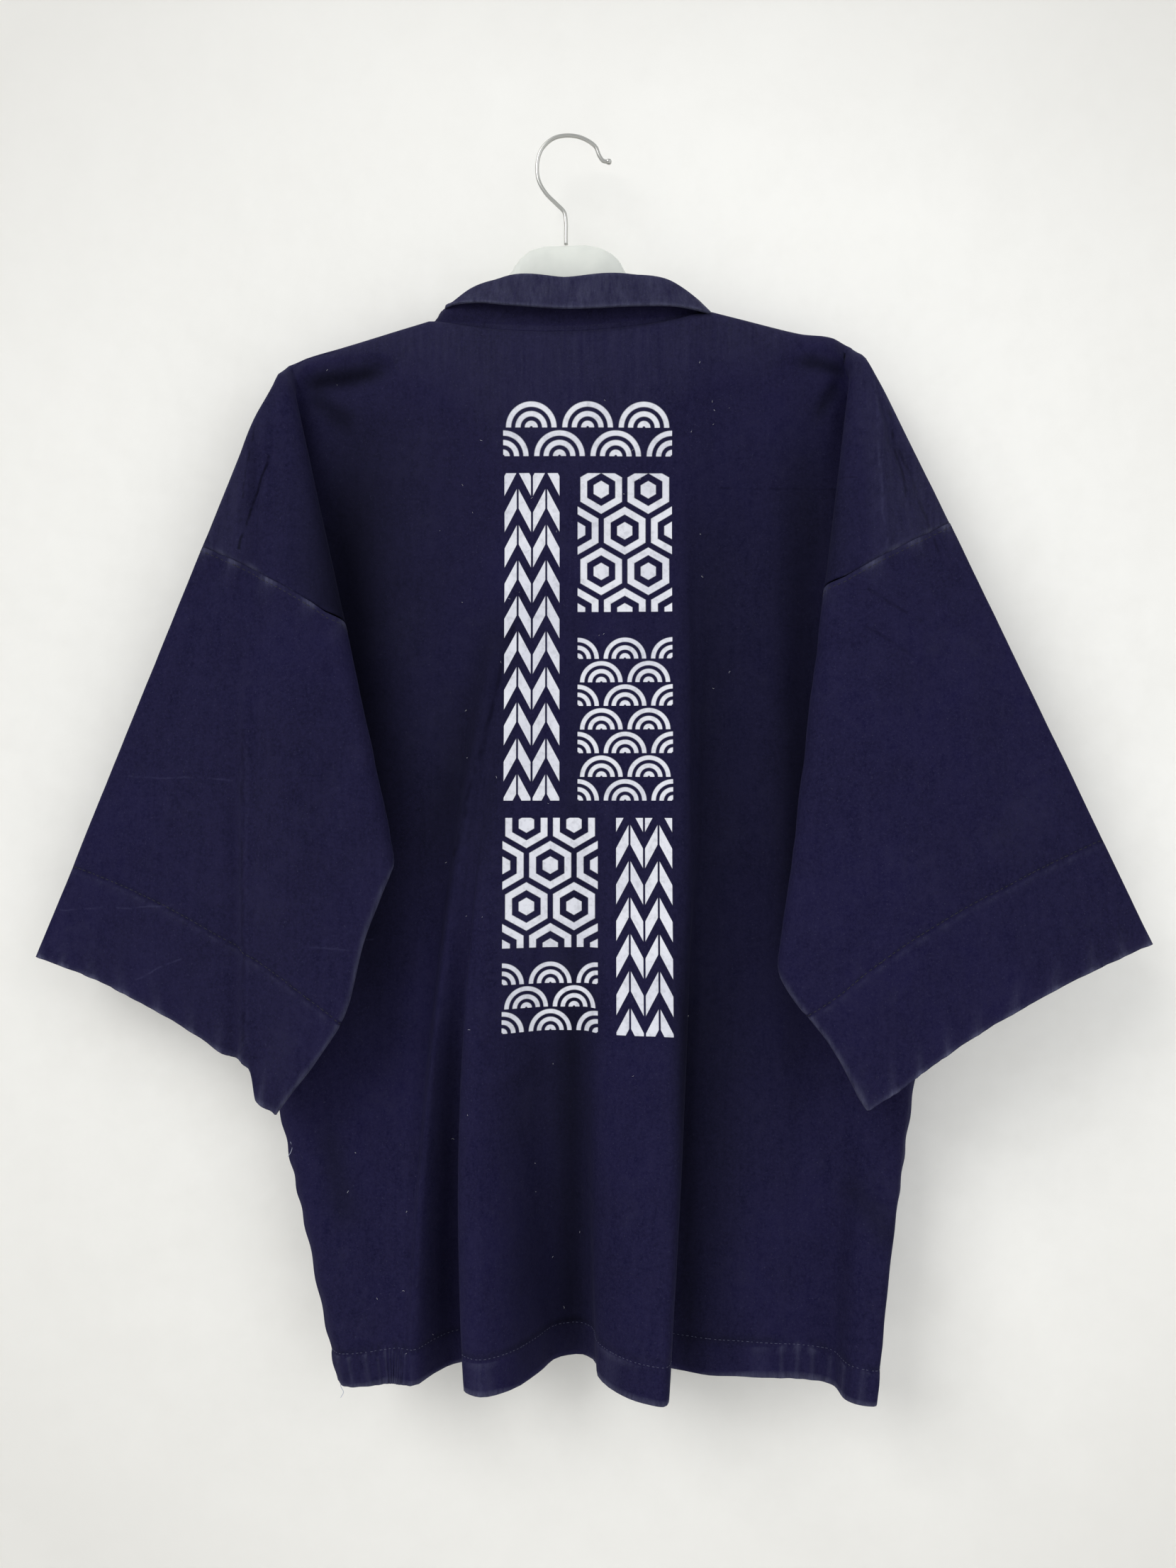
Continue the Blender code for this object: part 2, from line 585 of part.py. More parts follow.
def build_hanger():
    """Rounded bar with a raised middle, lofted through its rows."""
    rows = np.array([row[1:] for row in HANGER_ROWS]) * MM
    x, top, bottom, half_depth = rows.T
    ridge = np.where(np.abs(x) < NECK_REACH, HANGER_ROOT_LINE, shoulder_height(x))
    centre = ridge + (top + bottom) / 2
    half_height = (top - bottom) / 2
    sides = 12
    turn = np.arange(sides) * 2 * math.pi / sides
    power = 0.9
    round_y = np.sign(np.cos(turn)) * np.abs(np.cos(turn)) ** power
    round_z = np.sign(np.sin(turn)) * np.abs(np.sin(turn)) ** power
    rings = np.stack([np.broadcast_to(x[:, None], (len(x), sides)),
                      half_depth[:, None] * round_y,
                      centre[:, None] + half_height[:, None] * round_z], axis=-1)
    faces = []
    for r in range(len(x) - 1):
        for c in range(sides):
            d = (c + 1) % sides
            a, b = r * sides + c, r * sides + d
            faces.append((a, b, b + sides, a + sides))
    faces.append(tuple(range(sides - 1, -1, -1)))
    last = (len(x) - 1) * sides
    faces.append(tuple(range(last, last + sides)))
    add_mesh("hanger_body", rings.reshape(-1, 3), faces, (0.75, 0.76, 0.74), roughness=0.35)


def build_hook():
    """Wire bent to the hook's shape, with a ball melted onto its end."""
    points = np.array([(x, 0, z) for x, z in HOOK_POINTS]) * MM
    line = chord_spline(points[None], [3] * (len(points) - 1))[0]
    tangent = np.gradient(line, axis=0)
    tangent /= np.linalg.norm(tangent, axis=1, keepdims=True)
    across = np.cross((0, 1, 0), tangent)
    sides = 8
    radii = np.full(len(line), HOOK_RADIUS)
    ball = [(-1.9, 1.45), (-1.3, 1.8), (-0.4, 2.0), (0.6, 1.9), (1.3, 1.45), (1.85, 0.7)]
    tip = line[-1] + tangent[-1] * np.array([[place * MM] for place, _ in ball])
    line = np.concatenate([line[:-1], tip])
    across = np.concatenate([across[:-1], np.repeat(across[-1:], len(ball), axis=0)])
    radii = np.concatenate([radii[:-1], [radius * MM for _, radius in ball]])
    turn = np.arange(sides) * 2 * math.pi / sides
    rings = (line[:, None] + radii[:, None, None]
             * (np.cos(turn)[None, :, None] * across[:, None]
                + np.sin(turn)[None, :, None] * np.array([0, 1, 0])))
    faces = []
    for r in range(len(line) - 1):
        for c in range(sides):
            d = (c + 1) % sides
            a, b = r * sides + c, r * sides + d
            faces.append((a, b, b + sides, a + sides))
    faces.append(tuple(range(sides - 1, -1, -1)))
    last = (len(line) - 1) * sides
    faces.append(tuple(range(last, last + sides)))
    add_mesh("hanger_hook", rings.reshape(-1, 3), faces, (0.62, 0.62, 0.6),
             roughness=0.3, metallic=1.0)


NAVY = (0.022, 0.022, 0.060)


def main():
    for obj in list(bpy.data.objects):
        bpy.data.objects.remove(obj)
    build_back()
    build_front("front_left", SIDES["left"])
    build_front("front_right", SIDES["right"])
    build_sleeve("sleeve_left", SIDES["left"])
    build_sleeve("sleeve_right", SIDES["right"])
    build_collar()
    build_hanger()
    build_hook()


main()
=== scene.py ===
import math

import bmesh
import bpy
import numpy as np
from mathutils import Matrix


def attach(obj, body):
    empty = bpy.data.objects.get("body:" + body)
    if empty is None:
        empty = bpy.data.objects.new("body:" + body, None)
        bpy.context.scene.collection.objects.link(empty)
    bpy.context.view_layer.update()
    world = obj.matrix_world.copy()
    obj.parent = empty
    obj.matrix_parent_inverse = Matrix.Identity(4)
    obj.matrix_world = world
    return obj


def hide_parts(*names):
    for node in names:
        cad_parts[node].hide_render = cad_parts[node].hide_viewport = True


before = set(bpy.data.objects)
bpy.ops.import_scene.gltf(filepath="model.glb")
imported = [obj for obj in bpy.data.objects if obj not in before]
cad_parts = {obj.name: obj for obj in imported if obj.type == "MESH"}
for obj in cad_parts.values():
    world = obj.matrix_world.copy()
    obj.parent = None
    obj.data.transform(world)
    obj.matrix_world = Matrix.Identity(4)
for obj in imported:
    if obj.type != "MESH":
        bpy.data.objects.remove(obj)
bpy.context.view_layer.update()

mm = 0.001
rng = np.random.default_rng(7)

# navy festival jacket seen from the back, on a plastic hanger against a pale wall
# millimetres in the tables, metres in the meshes; +Y is the wall side

cut = {
    "bodyLength": 730 * mm, "neckReach": 98 * mm, "hemHeight": -857 * mm, "hemSideDrop": 9 * mm,
    "hemDropReach": 200 * mm, "neckDip": 13.7 * mm, "neckSetBack": 13 * mm, "layerHalfGap": 4.2 * mm,
    "fallEase": 170 * mm, "spareEase": 300 * mm, "seamGap": 0.3 * mm, "seamSpread": 0.6 * mm,
    "seamSpreadFrom": 165 * mm, "seamSpreadEase": 15 * mm, "growFrom": 0.14, "growOver": 0.36,
    "growPower": 1.25, "leastRadius": 0.5 * mm, "dropMost": 1.2, "clothHalf": 0.55 * mm,
}
sleeveCut = {
    "depth": 256 * mm, "cuffDepth": 238 * mm, "cuffHollow": 0.022, "puff": 6 * mm, "puffEase": 90 * mm,
    "frontPuff": 0.25, "rollReach": 4 * mm, "edgeClose": 0.35, "closeReach": 3 * mm,
    "seamHalf": 1.1 * mm, "lowSwell": 1.4 * mm, "turnSwell": 1.2 * mm, "turnHalf": 16 * mm,
    "frontLonger": 2.4 * mm, "frontEase": 24 * mm, "capDrop": 0.8 * mm, "leastBelowTurn": 26 * mm,
}
sleeveFold = {
    "turnRadius": 6.4 * mm, "pinchReach": 14 * mm, "pinchLeast": 0.3, "steps": 72, "eased": 0.25,
    "tiltEase": 150 * mm, "tiltWindow": (-0.07, -0.035, 0, 0.035, 0.07), "inwardReach": 60 * mm,
}

# neck and shoulder points, sleeve length, then the Z-fold's angles in degrees from level
sides = {
    "left": dict(sign=-1, neck=(-98.5, -131), shoulder=(-199.5, -162), length=306, droop=0.030,
                 slope=17.0, hidden=84.5, wedge=26.3, wedgeShare=0.708, flapShare=0.866,
                 tilt=((0.0, -0.065), (0.33, -0.080), (0.48, -0.018), (1.0, 0.025))),
    "right": dict(sign=1, neck=(100.0, -124.5), shoulder=(200.5, -150), length=312, droop=0.004,
                  slope=14.2, hidden=74.5, wedge=26.6, wedgeShare=0.880, flapShare=0.964,
                  tilt=((0.0, -0.085), (0.30, -0.105), (0.55, -0.085), (1.0, -0.055))),
}

# depth of the roll over the hanger, by the distance from the middle
rollDepths = ((0, 13.5), (84, 13.5), (99, 8), (150, 9), (176, 12.5), (186, 10.5), (196, 5.5),
              (203, 4.2), (214, 4))

# rows of a column: least distances, half widths of the two turns, rows below them
rowRule = {
    "firstTurn": 8 * mm, "firstSlope": 0.28, "secondTurn": 22 * mm, "secondSlope": 0.9,
    "between": 14 * mm, "halfFirst": 14 * mm, "halfSecond": 28 * mm, "lowRows": 11,
    "rollShare": 0.6, "halfShare": 0.45, "gapShare": 0.3, "levelFrom": 0.4, "levelTo": 0.8,
}
turnSteps = (-1, -0.45, 0, 0.45, 1)
lowTurnSteps = (-1, -0.4, 0.3, 1)


def smooth(t):
    # 3t^2 - 2t^3
    t = np.clip(t, 0, 1)
    return t * t * (3 - 2 * t)


def bell(value, half):
    # exp(-(value / half)^2)
    return np.exp(-(value / half) ** 2)


def lineOf(value, row):
    # strength * exp(-((value - place) / half)^2)
    place, half, strength = row
    return strength * bell(value - place, half)


def waves(along, row, extra=0):
    # ripple of uneven length: sin(along / wave + drift * sin(along / driftWave) + extra)
    wave, drift, driftWave = row
    return np.sin(along / wave + drift * np.sin(along / driftWave) + extra)


def unit(vectors):
    # vector over its length
    return vectors / (np.linalg.norm(vectors, axis=-1, keepdims=True) + 1e-12)


def throughThree(start, middle, end, t):
    # parabola through start, the middle at 0.5 and end
    return start * (1 - 3 * t + 2 * t * t) + middle * (4 * t - 4 * t * t) + end * (2 * t * t - t)


def growth(start, middle, end, t):
    # level, then eased to the middle depth, then a cone (2t-1)^1.25 to the hem
    lower = np.clip(2 * t - 1, 0, 1) ** cut["growPower"]
    return start + (middle - start) * smooth((t - cut["growFrom"]) / cut["growOver"]) + (end - middle) * lower


def chordSpline(points, counts):
    # Hermite pieces with chord-weighted tangents
    steps = np.linalg.norm(np.diff(points, axis=1), axis=2) + 1e-6
    slopes = np.diff(points, axis=1) / steps[..., None]
    before, after = steps[:, :-1, None], steps[:, 1:, None]
    inner = (slopes[:, :-1] * after + slopes[:, 1:] * before) / (before + after)
    tangents = np.concatenate([slopes[:, :1], inner, slopes[:, -1:]], axis=1)
    made = []
    for i, count in enumerate(counts):
        t = (np.arange(count) / count)[None, :, None]
        chord = steps[:, i, None, None]
        made.append((2 * t**3 - 3 * t**2 + 1) * points[:, i, None]
                    + (t**3 - 2 * t**2 + t) * chord * tangents[:, i, None]
                    + (3 * t**2 - 2 * t**3) * points[:, i + 1, None]
                    + (t**3 - t**2) * chord * tangents[:, i + 1, None])
    made.append(points[:, -1:])
    return np.concatenate(made, axis=1)


def densify(values, spacing):
    # straight subdivision of each interval down to the given spacing
    steps = np.abs(np.diff(values, axis=0)).reshape(len(values) - 1, -1).max(axis=1)
    made = []
    for i, step in enumerate(steps):
        parts = max(1, math.ceil(step / spacing))
        for k in range(parts):
            made.append(values[i] + (values[i + 1] - values[i]) * k / parts)
    made.append(values[-1])
    return np.array(made)


def shoulderHeight(x):
    # neck line with a parabolic dip, then straight shoulders, then the sleeve's slope
    left, right = sides["left"], sides["right"]
    rise = (right["neck"][1] - left["neck"][1]) / (right["neck"][0] - left["neck"][0])
    height = left["neck"][1] * mm + rise * (x - left["neck"][0] * mm)
    height = height - cut["neckDip"] * np.clip(1 - (x / cut["neckReach"]) ** 2, 0, 1)
    for side in sides.values():
        sign = side["sign"]
        reach = x * sign
        neckX, neckZ = side["neck"][0] * sign * mm, side["neck"][1] * mm
        endX, endZ = side["shoulder"][0] * sign * mm, side["shoulder"][1] * mm
        fall = math.tan(math.radians(side["slope"]))
        ridge = neckZ + (endZ - neckZ) * (reach - neckX) / (endX - neckX)
        beyond = endZ - (reach - endX) * fall
        height = np.where(reach > neckX, np.where(reach > endX, beyond, ridge), height)
    return height


def rollDepth(x):
    # straight between the table's rows
    reach, depth = np.array(rollDepths).T * mm
    return np.interp(np.abs(x), reach, depth)


def neckSetBack(x):
    # ellipse of the neck's edge behind the shoulder line
    return cut["neckSetBack"] * np.sqrt(np.clip(1 - (x / cut["neckReach"]) ** 2, 0, 1))


def bodyPoint(topX, x, depth, down, face):
    # a quarter roll over the hanger that eases into the fold's own depth
    roll = rollDepth(topX)
    spread = smooth((np.abs(topX) - cut["seamSpreadFrom"]) / cut["seamSpreadEase"])
    start = np.maximum(neckSetBack(topX), cut["seamGap"] / 2 + cut["seamSpread"] * spread)
    radius = np.maximum(roll - start, cut["leastRadius"])
    beta = np.clip(down / radius, 0, math.pi / 2)
    fallen = smooth(down / cut["fallEase"])
    y = face * (start + radius * np.sin(beta)) * (1 - fallen) + depth * fallen
    top = shoulderHeight(topX)
    hem = cut["hemHeight"] - cut["hemSideDrop"] * np.minimum((x / cut["hemDropReach"]) ** 2, cut["dropMost"])
    rounded = radius * (1 - np.cos(beta)) + np.maximum(down - radius * math.pi / 2, 0)
    spared = (down - rounded) * (1 - smooth(down / cut["spareEase"]))
    z = top + (hem - top) * down / cut["bodyLength"] + spared
    return np.stack([x, y, z], axis=-1)


def partTurned(where, full):
    # share of a turn done: mostly even, a little eased at both ends
    share = np.clip(where / full + 0.5, 0, 1)
    return (1 - sleeveFold["eased"]) * share + sleeveFold["eased"] * smooth(share)


def foldSleeve(points, side):
    # polar about the shoulder point: two 180 degree turns, their arcs integrated in steps
    sign = side["sign"]
    apexX, apexZ = side["shoulder"][0] * mm, side["shoulder"][1] * mm
    hidden, wedge, slope = (math.radians(side[k]) for k in ("hidden", "wedge", "slope"))
    out = (points[..., 0] - apexX) * sign
    up = points[..., 2] - apexZ
    rho = np.hypot(out, up) + 1e-9
    angle = np.arctan2(-up, out)
    angle = np.where(angle < -2.0, angle + 2 * math.pi, angle)
    pinch = np.clip(rho / sleeveFold["pinchReach"], sleeveFold["pinchLeast"], 1)
    arc = rho * (hidden - angle)
    innerArc = rho * wedge
    width = math.pi * sleeveFold["turnRadius"] * pinch
    low = -width
    span = np.maximum(arc - low, 0)
    steps = sleeveFold["steps"]
    along, depth = np.zeros_like(arc), np.zeros_like(arc)
    for k in range(steps):
        position = low + span * ((k + 0.5) / steps)
        first, second = partTurned(position, width), partTurned(position - innerArc, width)
        theta = math.pi * (first - second)
        share = (1 + (side["wedgeShare"] - 1) * first
                 + (side["flapShare"] - side["wedgeShare"]) * second)
        along += share * np.cos(theta)
        depth -= np.sin(theta)
    now = math.pi * (partTurned(arc, width) - partTurned(arc - innerArc, width))
    offset = points[..., 1] * pinch
    along = low + along * span / steps + np.minimum(arc - low, 0) + offset * np.sin(now)
    depth = depth * span / steps + offset * np.cos(now)
    # the flap leans away from the back by the side's tilt, averaged over a small window
    stage = (hidden - wedge - angle) / (hidden - wedge - slope)
    shareAt, tiltAt = np.array(side["tilt"]).T
    window = sleeveFold["tiltWindow"]
    tilt = sum(np.interp(np.clip(stage + d, 0, 1), shareAt, tiltAt) for d in window) / len(window)
    ramp = smooth(arc / np.maximum(innerArc, 1e-6)) * smooth(rho / sleeveFold["tiltEase"])
    depth = depth + rho * tilt * ramp
    turned = hidden - along / rho
    folded = np.stack([apexX + sign * rho * np.cos(turned), depth,
                       apexZ - rho * np.sin(turned)], axis=-1)
    active = (arc > low) & (out > -sleeveFold["inwardReach"])
    flat = np.stack([points[..., 0], offset, points[..., 2]], axis=-1)
    return np.where(active[..., None], folded, flat)


def foldBoth(points):
    # each half is folded about its own shoulder point
    left, right = (foldSleeve(points, sides[name]) for name in ("left", "right"))
    return np.where((points[..., 0] < 0)[..., None], left, right)


def crossing(side, topX, midX, hemX, angle):
    # where a column meets a ray from the shoulder point
    down = np.linspace(0, cut["bodyLength"], 300)
    x = throughThree(topX, midX, hemX, down / cut["bodyLength"])
    points = bodyPoint(np.full_like(down, topX), x, np.zeros_like(down), down, 0)
    out = (points[:, 0] - side["shoulder"][0] * mm) * side["sign"]
    ray = np.degrees(np.arctan2(side["shoulder"][1] * mm - points[:, 2], out))
    return float(np.interp(angle, ray, down))


def rowPlan(topX, midX, hemX):
    # rows of one column, close together where the cloth turns
    side = sides["left"] if topX < 0 else sides["right"]
    length = cut["bodyLength"]
    beyond = topX * side["sign"] - abs(side["shoulder"][0]) * mm
    if beyond > 1 * mm:
        one = crossing(side, topX, midX, hemX, side["hidden"] - side["wedge"])
        two = crossing(side, topX, midX, hemX, side["hidden"])
    else:
        one = rowRule["firstTurn"] - beyond * rowRule["firstSlope"]
        two = rowRule["secondTurn"] - beyond * rowRule["secondSlope"]
    one = max(one, rowRule["firstTurn"])
    two = max(two, one + rowRule["between"])
    roll = min(float(rollDepth(np.array(topX))) * math.pi / 2, one * rowRule["rollShare"])
    before, between = one - roll, two - one
    halfOne = min(rowRule["halfFirst"], before * rowRule["halfShare"], between * rowRule["gapShare"])
    halfTwo = min(rowRule["halfSecond"], between * rowRule["halfShare"])
    low = two + halfTwo
    passed = one + halfOne
    room = two - halfTwo - passed
    level = max(sleeveCut["depth"], passed + room * rowRule["levelFrom"])
    level = min(level, passed + room * rowRule["levelTo"])
    rows = [0, roll * 0.5, roll, (roll + one - halfOne) / 2]
    rows += [one + halfOne * k for k in turnSteps]
    rows += [(passed + level) / 2, level]
    rows += [two + halfTwo * k for k in lowTurnSteps]
    rows += list(low + (length - low) * np.linspace(0, 1, rowRule["lowRows"])[1:])
    return rows


def normalsOf(grid):
    # cross product of the two directions of the grid
    return unit(np.cross(np.gradient(grid, axis=1), np.gradient(grid, axis=0)))


# creases of the back: both ends x, z, then half width and height, in millimetres
backCreases = (
    ("sag left", -60, -662, -23, -648, 5, 2.2),
    ("sag right", 31, -653, 60, -665, 5, 2.0),
    ("thin ridge", 107, -560, 107, -680, 3.5, 1.8),
    ("storage crease", -52, -248, 164, -249, 2.2, -0.4),
    ("left shoulder valley", -189, -180, -146, -179, 7, -3.0),
    ("left shoulder valley end", -162, -178, -110, -160, 8, -2.6),
    ("left shoulder valley low", -190, -184, -160, -202, 7, -2.4),
    ("left shoulder swell", -176, -196, -120, -196, 13, 2.0),
    ("left shaded hollow", -176, -230, -160, -420, 17, -3.0),
    ("right shoulder valley", 193, -170, 150, -162, 5, -2.4),
    ("right shoulder tuck", 192, -172, 176, -196, 5, -2.6),
    ("right shaded hollow", 168, -200, 160, -420, 16, -3.4),
    ("right low valley", 193, -731, 228, -776, 6, -3.2),
    ("right low ridge", 180, -742, 212, -800, 6, 2.2),
    ("left low bulge", -158, -706, -148, -742, 12, 3.0),
    ("left low notch", -184, -676, -168, -700, 5, -2.0),
    ("left edge notch", -176, -716, -160, -752, 5, -1.8),
    ("long fold echo", -46, -330, -72, -470, 5, 1.6),
    ("long fold shade", -30, -340, -56, -470, 7, -1.6),
    ("centre echo", 3, -470, -4, -640, 6, 1.2),
    ("centre shade", 18, -480, 14, -640, 7, -1.6),
    ("right panel soft", 146, -360, 150, -560, 9, 1.4),
    ("right dark band", 92, -250, 98, -520, 9, -2.0),
    ("right lit strip", 78, -230, 80, -520, 6, 1.6),
)

# places of the back with painted shade, dark and greyish, in its valleys and hollows: both ends x, z, half
# width, share
paintedShadeZones = (
    ("centre valley", 2, -575, 2, -880, 14, 0.66),
    ("centre slope", -28, -600, -26, -880, 17, 0.30),
    ("centre valley top", 6, -330, 2, -600, 12, 0.22),
    ("dark band", 94, -250, 96, -880, 20, 0.34),
    ("dark band edge", 78, -560, 82, -880, 8, 0.45),
    ("left hollow", -158, -200, -140, -640, 24, 0.50),
    ("left yoke", -146, -190, -112, -520, 50, 0.30),
    ("left of long fold top", -44, -320, -97, -520, 15, 0.34),
    ("right grey panel", 114, -200, 122, -760, 36, 0.24),
    ("left shoulder hollow", -186, -178, -128, -166, 7, 0.75),
    ("under the left tuck", -184, -184, -150, -206, 8, 0.45),
    ("right shoulder hollow", 194, -168, 160, -160, 5, 0.60),
    ("under the right tuck", 190, -176, 172, -200, 5, 0.45),
    ("beside the lower bulge", -168, -690, -150, -760, 10, 0.35),
    ("left of long fold", -84, -600, -88, -870, 13, 0.35),
    ("long fold shade", -32, -330, -62, -520, 9, 0.22),
    ("right hollow", 168, -180, 158, -640, 20, 0.50),
    ("right low valley", 190, -725, 222, -770, 10, 0.30),
)

# creases of the folded sleeves, in the photo's plane
leftCreases = (
    ("long light crease", -217, -350, -216, -690, 3.6, 3.2),
    ("valley beside it", -225, -420, -225, -690, 5.0, -2.8),
    ("drag one", -214, -196, -232, -330, 5, 2.4),
    ("drag one valley", -201, -228, -227, -292, 3.4, -1.8),
    ("drag two", -209, -205, -206, -340, 5, 2.4),
    ("drag three", -219, -190, -262, -320, 5, 2.0),
    ("drag valley", -212, -215, -216, -320, 3.6, -2.2),
    ("drag low", -236, -300, -262, -372, 4, -1.3),
    ("diagonal", -266, -455, -283, -515, 4, 1.4),
    ("lower diagonal", -250, -560, -300, -610, 7, 1.6),
    ("fold edge ease", -150, -430, -178, -560, 9, -2.2),
    ("old crease upper", -309, -451, -227, -453, 2.4, 0.45),
    ("old crease outer", -352, -544, -262, -538, 2.4, -0.45),
    ("old crease cuff", -295, -590, -261, -573, 2.4, 0.45),
    ("old crease inner", -171, -565, -137, -566, 2.4, 0.40),
)
rightCreases = (
    ("ridge top", 203, -166, 214, -222, 3.6, 2.4),
    ("ridge", 212, -200, 214, -315, 3.8, 2.8),
    ("valley beside it", 212, -190, 230, -246, 4.2, -2.8),
    ("outer valley", 222, -224, 247, -292, 3.8, -2.4),
    ("outer ridge", 226, -196, 254, -276, 5, 1.6),
    ("inner drag", 207, -230, 199, -330, 6, -1.4),
    ("soft line", 219, -320, 218, -400, 5, 1.2),
    ("wrinkle one", 198, -322, 236, -345, 4, 1.7),
    ("wrinkle two", 196, -350, 232, -372, 4, -1.6),
    ("wrinkle three", 204, -380, 240, -396, 4, 1.4),
    ("wrinkle four", 244, -322, 268, -362, 4, 1.2),
    ("dent", 214, -446, 230, -452, 10, -3.0),
    ("outer wedge", 334, -450, 356, -500, 8, -2.6),
    ("long soft", 262, -380, 300, -620, 14, 2.0),
    ("lower soft", 196, -560, 240, -640, 10, 1.8),
)
creases = {"left": leftCreases, "right": rightCreases}

# small shifts of the outline: place x, z, then shift x, z and reach, in millimetres
outlineNudges = (
    ("left shoulder", -209, -176, 5.5, 0.5, 17),
    ("right shoulder", 208, -160, -5.5, 1.0, 17),
    ("right shoulder rise", 184, -148, 0, 3.0, 15),
    ("right panel hem", 96, -852, 0, -3.5, 26),
)
sleeveNudges = (
    ("left seam belly", -170, -613, 17, 0, 55),
    ("right corner", 149, -573, -3.5, -12.5, 42),
)


def nudge(points, table):
    # each row adds its shift times exp(-(distance / reach)^2)
    moved = points.copy()
    for _, x, z, shiftX, shiftZ, reach in table:
        near = bell(np.hypot(points[..., 0] / mm - x, points[..., 2] / mm - z), reach)
        moved[..., 0] += shiftX * mm * near
        moved[..., 2] += shiftZ * mm * near
    return moved


creaseEnds = {"beyond": 0.12, "fade": 0.35}


def creaseField(points, table):
    # sum of Gaussian ridges along segments, faded at both ends
    x, z = points[..., 0] / mm, points[..., 2] / mm
    total = np.zeros_like(x)
    beyond, fade = creaseEnds["beyond"], creaseEnds["fade"]
    for _, x0, z0, x1, z1, half, height in table:
        dx, dz = x1 - x0, z1 - z0
        size = math.hypot(dx, dz)
        t = ((x - x0) * dx + (z - z0) * dz) / size**2
        ends = smooth((t + beyond) / fade) * smooth((1 + beyond - t) / fade)
        total += height * ends * bell(((x - x0) * dz - (z - z0) * dx) / size, half)
    return total * mm


wrinkleLook = {"count": 9, "leastWave": 0.6, "mostWave": 1.6, "bend": 0.9, "bendWave": 2.1, "bendTurn": 5}


def wrinkleNoise(points, scale, seed):
    # mean of crossed sine waves with seeded directions, lengths and phases
    local = np.random.default_rng(seed)
    x, z = points[..., 0], points[..., 2]
    total = np.zeros_like(x)
    look = wrinkleLook
    for _ in range(look["count"]):
        turn = local.uniform(0, math.pi)
        wave = local.uniform(look["leastWave"], look["mostWave"]) / scale
        across = z * math.cos(turn) - x * math.sin(turn)
        along = x * math.cos(turn) + z * math.sin(turn)
        bent = look["bend"] * np.sin(across * wave * look["bendWave"] + turn * look["bendTurn"])
        total += np.sin(2 * math.pi * along * wave + bent + local.uniform(0, 6))
    return total / look["count"]


def meshFrom(name, vertices, quads, materials, slots=None, wearAndShade=None):
    # mesh object from arrays, with its material of each face and its wear and painted shade at each point
    mesh = bpy.data.meshes.new(name)
    mesh.vertices.add(len(vertices))
    mesh.vertices.foreach_set("co", np.ascontiguousarray(vertices, dtype=np.float32).ravel())
    quads = np.asarray(quads, dtype=np.int32)
    mesh.loops.add(quads.size)
    mesh.loops.foreach_set("vertex_index", quads.ravel())
    mesh.polygons.add(len(quads))
    mesh.polygons.foreach_set("loop_start", np.arange(len(quads), dtype=np.int32) * quads.shape[1])
    mesh.polygons.foreach_set("loop_total", np.full(len(quads), quads.shape[1], dtype=np.int32))
    for material in materials:
        mesh.materials.append(material)
    if slots is not None:
        mesh.polygons.foreach_set("material_index", np.asarray(slots, dtype=np.int32))
    if wearAndShade is not None:
        layer = mesh.attributes.new("wearAndShade", "FLOAT", "POINT")
        layer.data.foreach_set("value", np.asarray(wearAndShade, dtype=np.float32).ravel())
    mesh.update(calc_edges=True)
    mesh.validate()
    mesh.shade_smooth()
    obj = bpy.data.objects.new(name, mesh)
    bpy.context.scene.collection.objects.link(obj)
    return obj


def gridQuads(rows, cols, wrap=False):
    # four corners of every cell of a grid, closed to a tube when it wraps
    index = np.arange(rows * cols).reshape(rows, cols)
    if wrap:
        index = np.concatenate([index, index[:, :1]], axis=1)
    return np.stack([index[:-1, :-1], index[:-1, 1:], index[1:, 1:], index[1:, :-1]],
                    axis=-1).reshape(-1, 4)


def shell(name, outer, inner, materials, wearAndShade, wrap=False):
    # two faces joined round their open edges; the outer face has material 0, the rest 1
    rows, cols = outer.shape[:2]
    count = rows * cols
    quads = gridQuads(rows, cols, wrap)
    back = quads[:, ::-1] + count
    index = np.arange(count).reshape(rows, cols)
    if wrap:
        first = np.append(index[0], index[0, 0])
        last = np.append(index[-1], index[-1, 0])
        rings = [(first, True), (last, False)]
    else:
        ring = np.concatenate([index[0, :], index[1:, -1], index[-1, -2::-1], index[-2::-1, 0]])
        rings = [(ring, True)]
    edges = []
    for line, flip in rings:
        a, b = line[:-1], line[1:]
        quad = np.stack([b, a, a + count, b + count], axis=1)
        edges.append(quad if flip else quad[:, ::-1])
    allQuads = np.concatenate([quads, back] + edges)
    slots = np.zeros(len(allQuads), dtype=np.int32)
    slots[len(quads):] = 1
    vertices = np.concatenate([outer.reshape(-1, 3), inner.reshape(-1, 3)])
    return meshFrom(name, vertices, allQuads, materials, slots,
                    np.concatenate([wearAndShade.ravel(), wearAndShade.ravel()]))


def areaOf(grid):
    # sum of the cells' cross products
    a = grid[:-1, 1:] - grid[:-1, :-1]
    b = grid[1:, :-1] - grid[:-1, :-1]
    return float(np.linalg.norm(np.cross(a, b), axis=-1).sum())


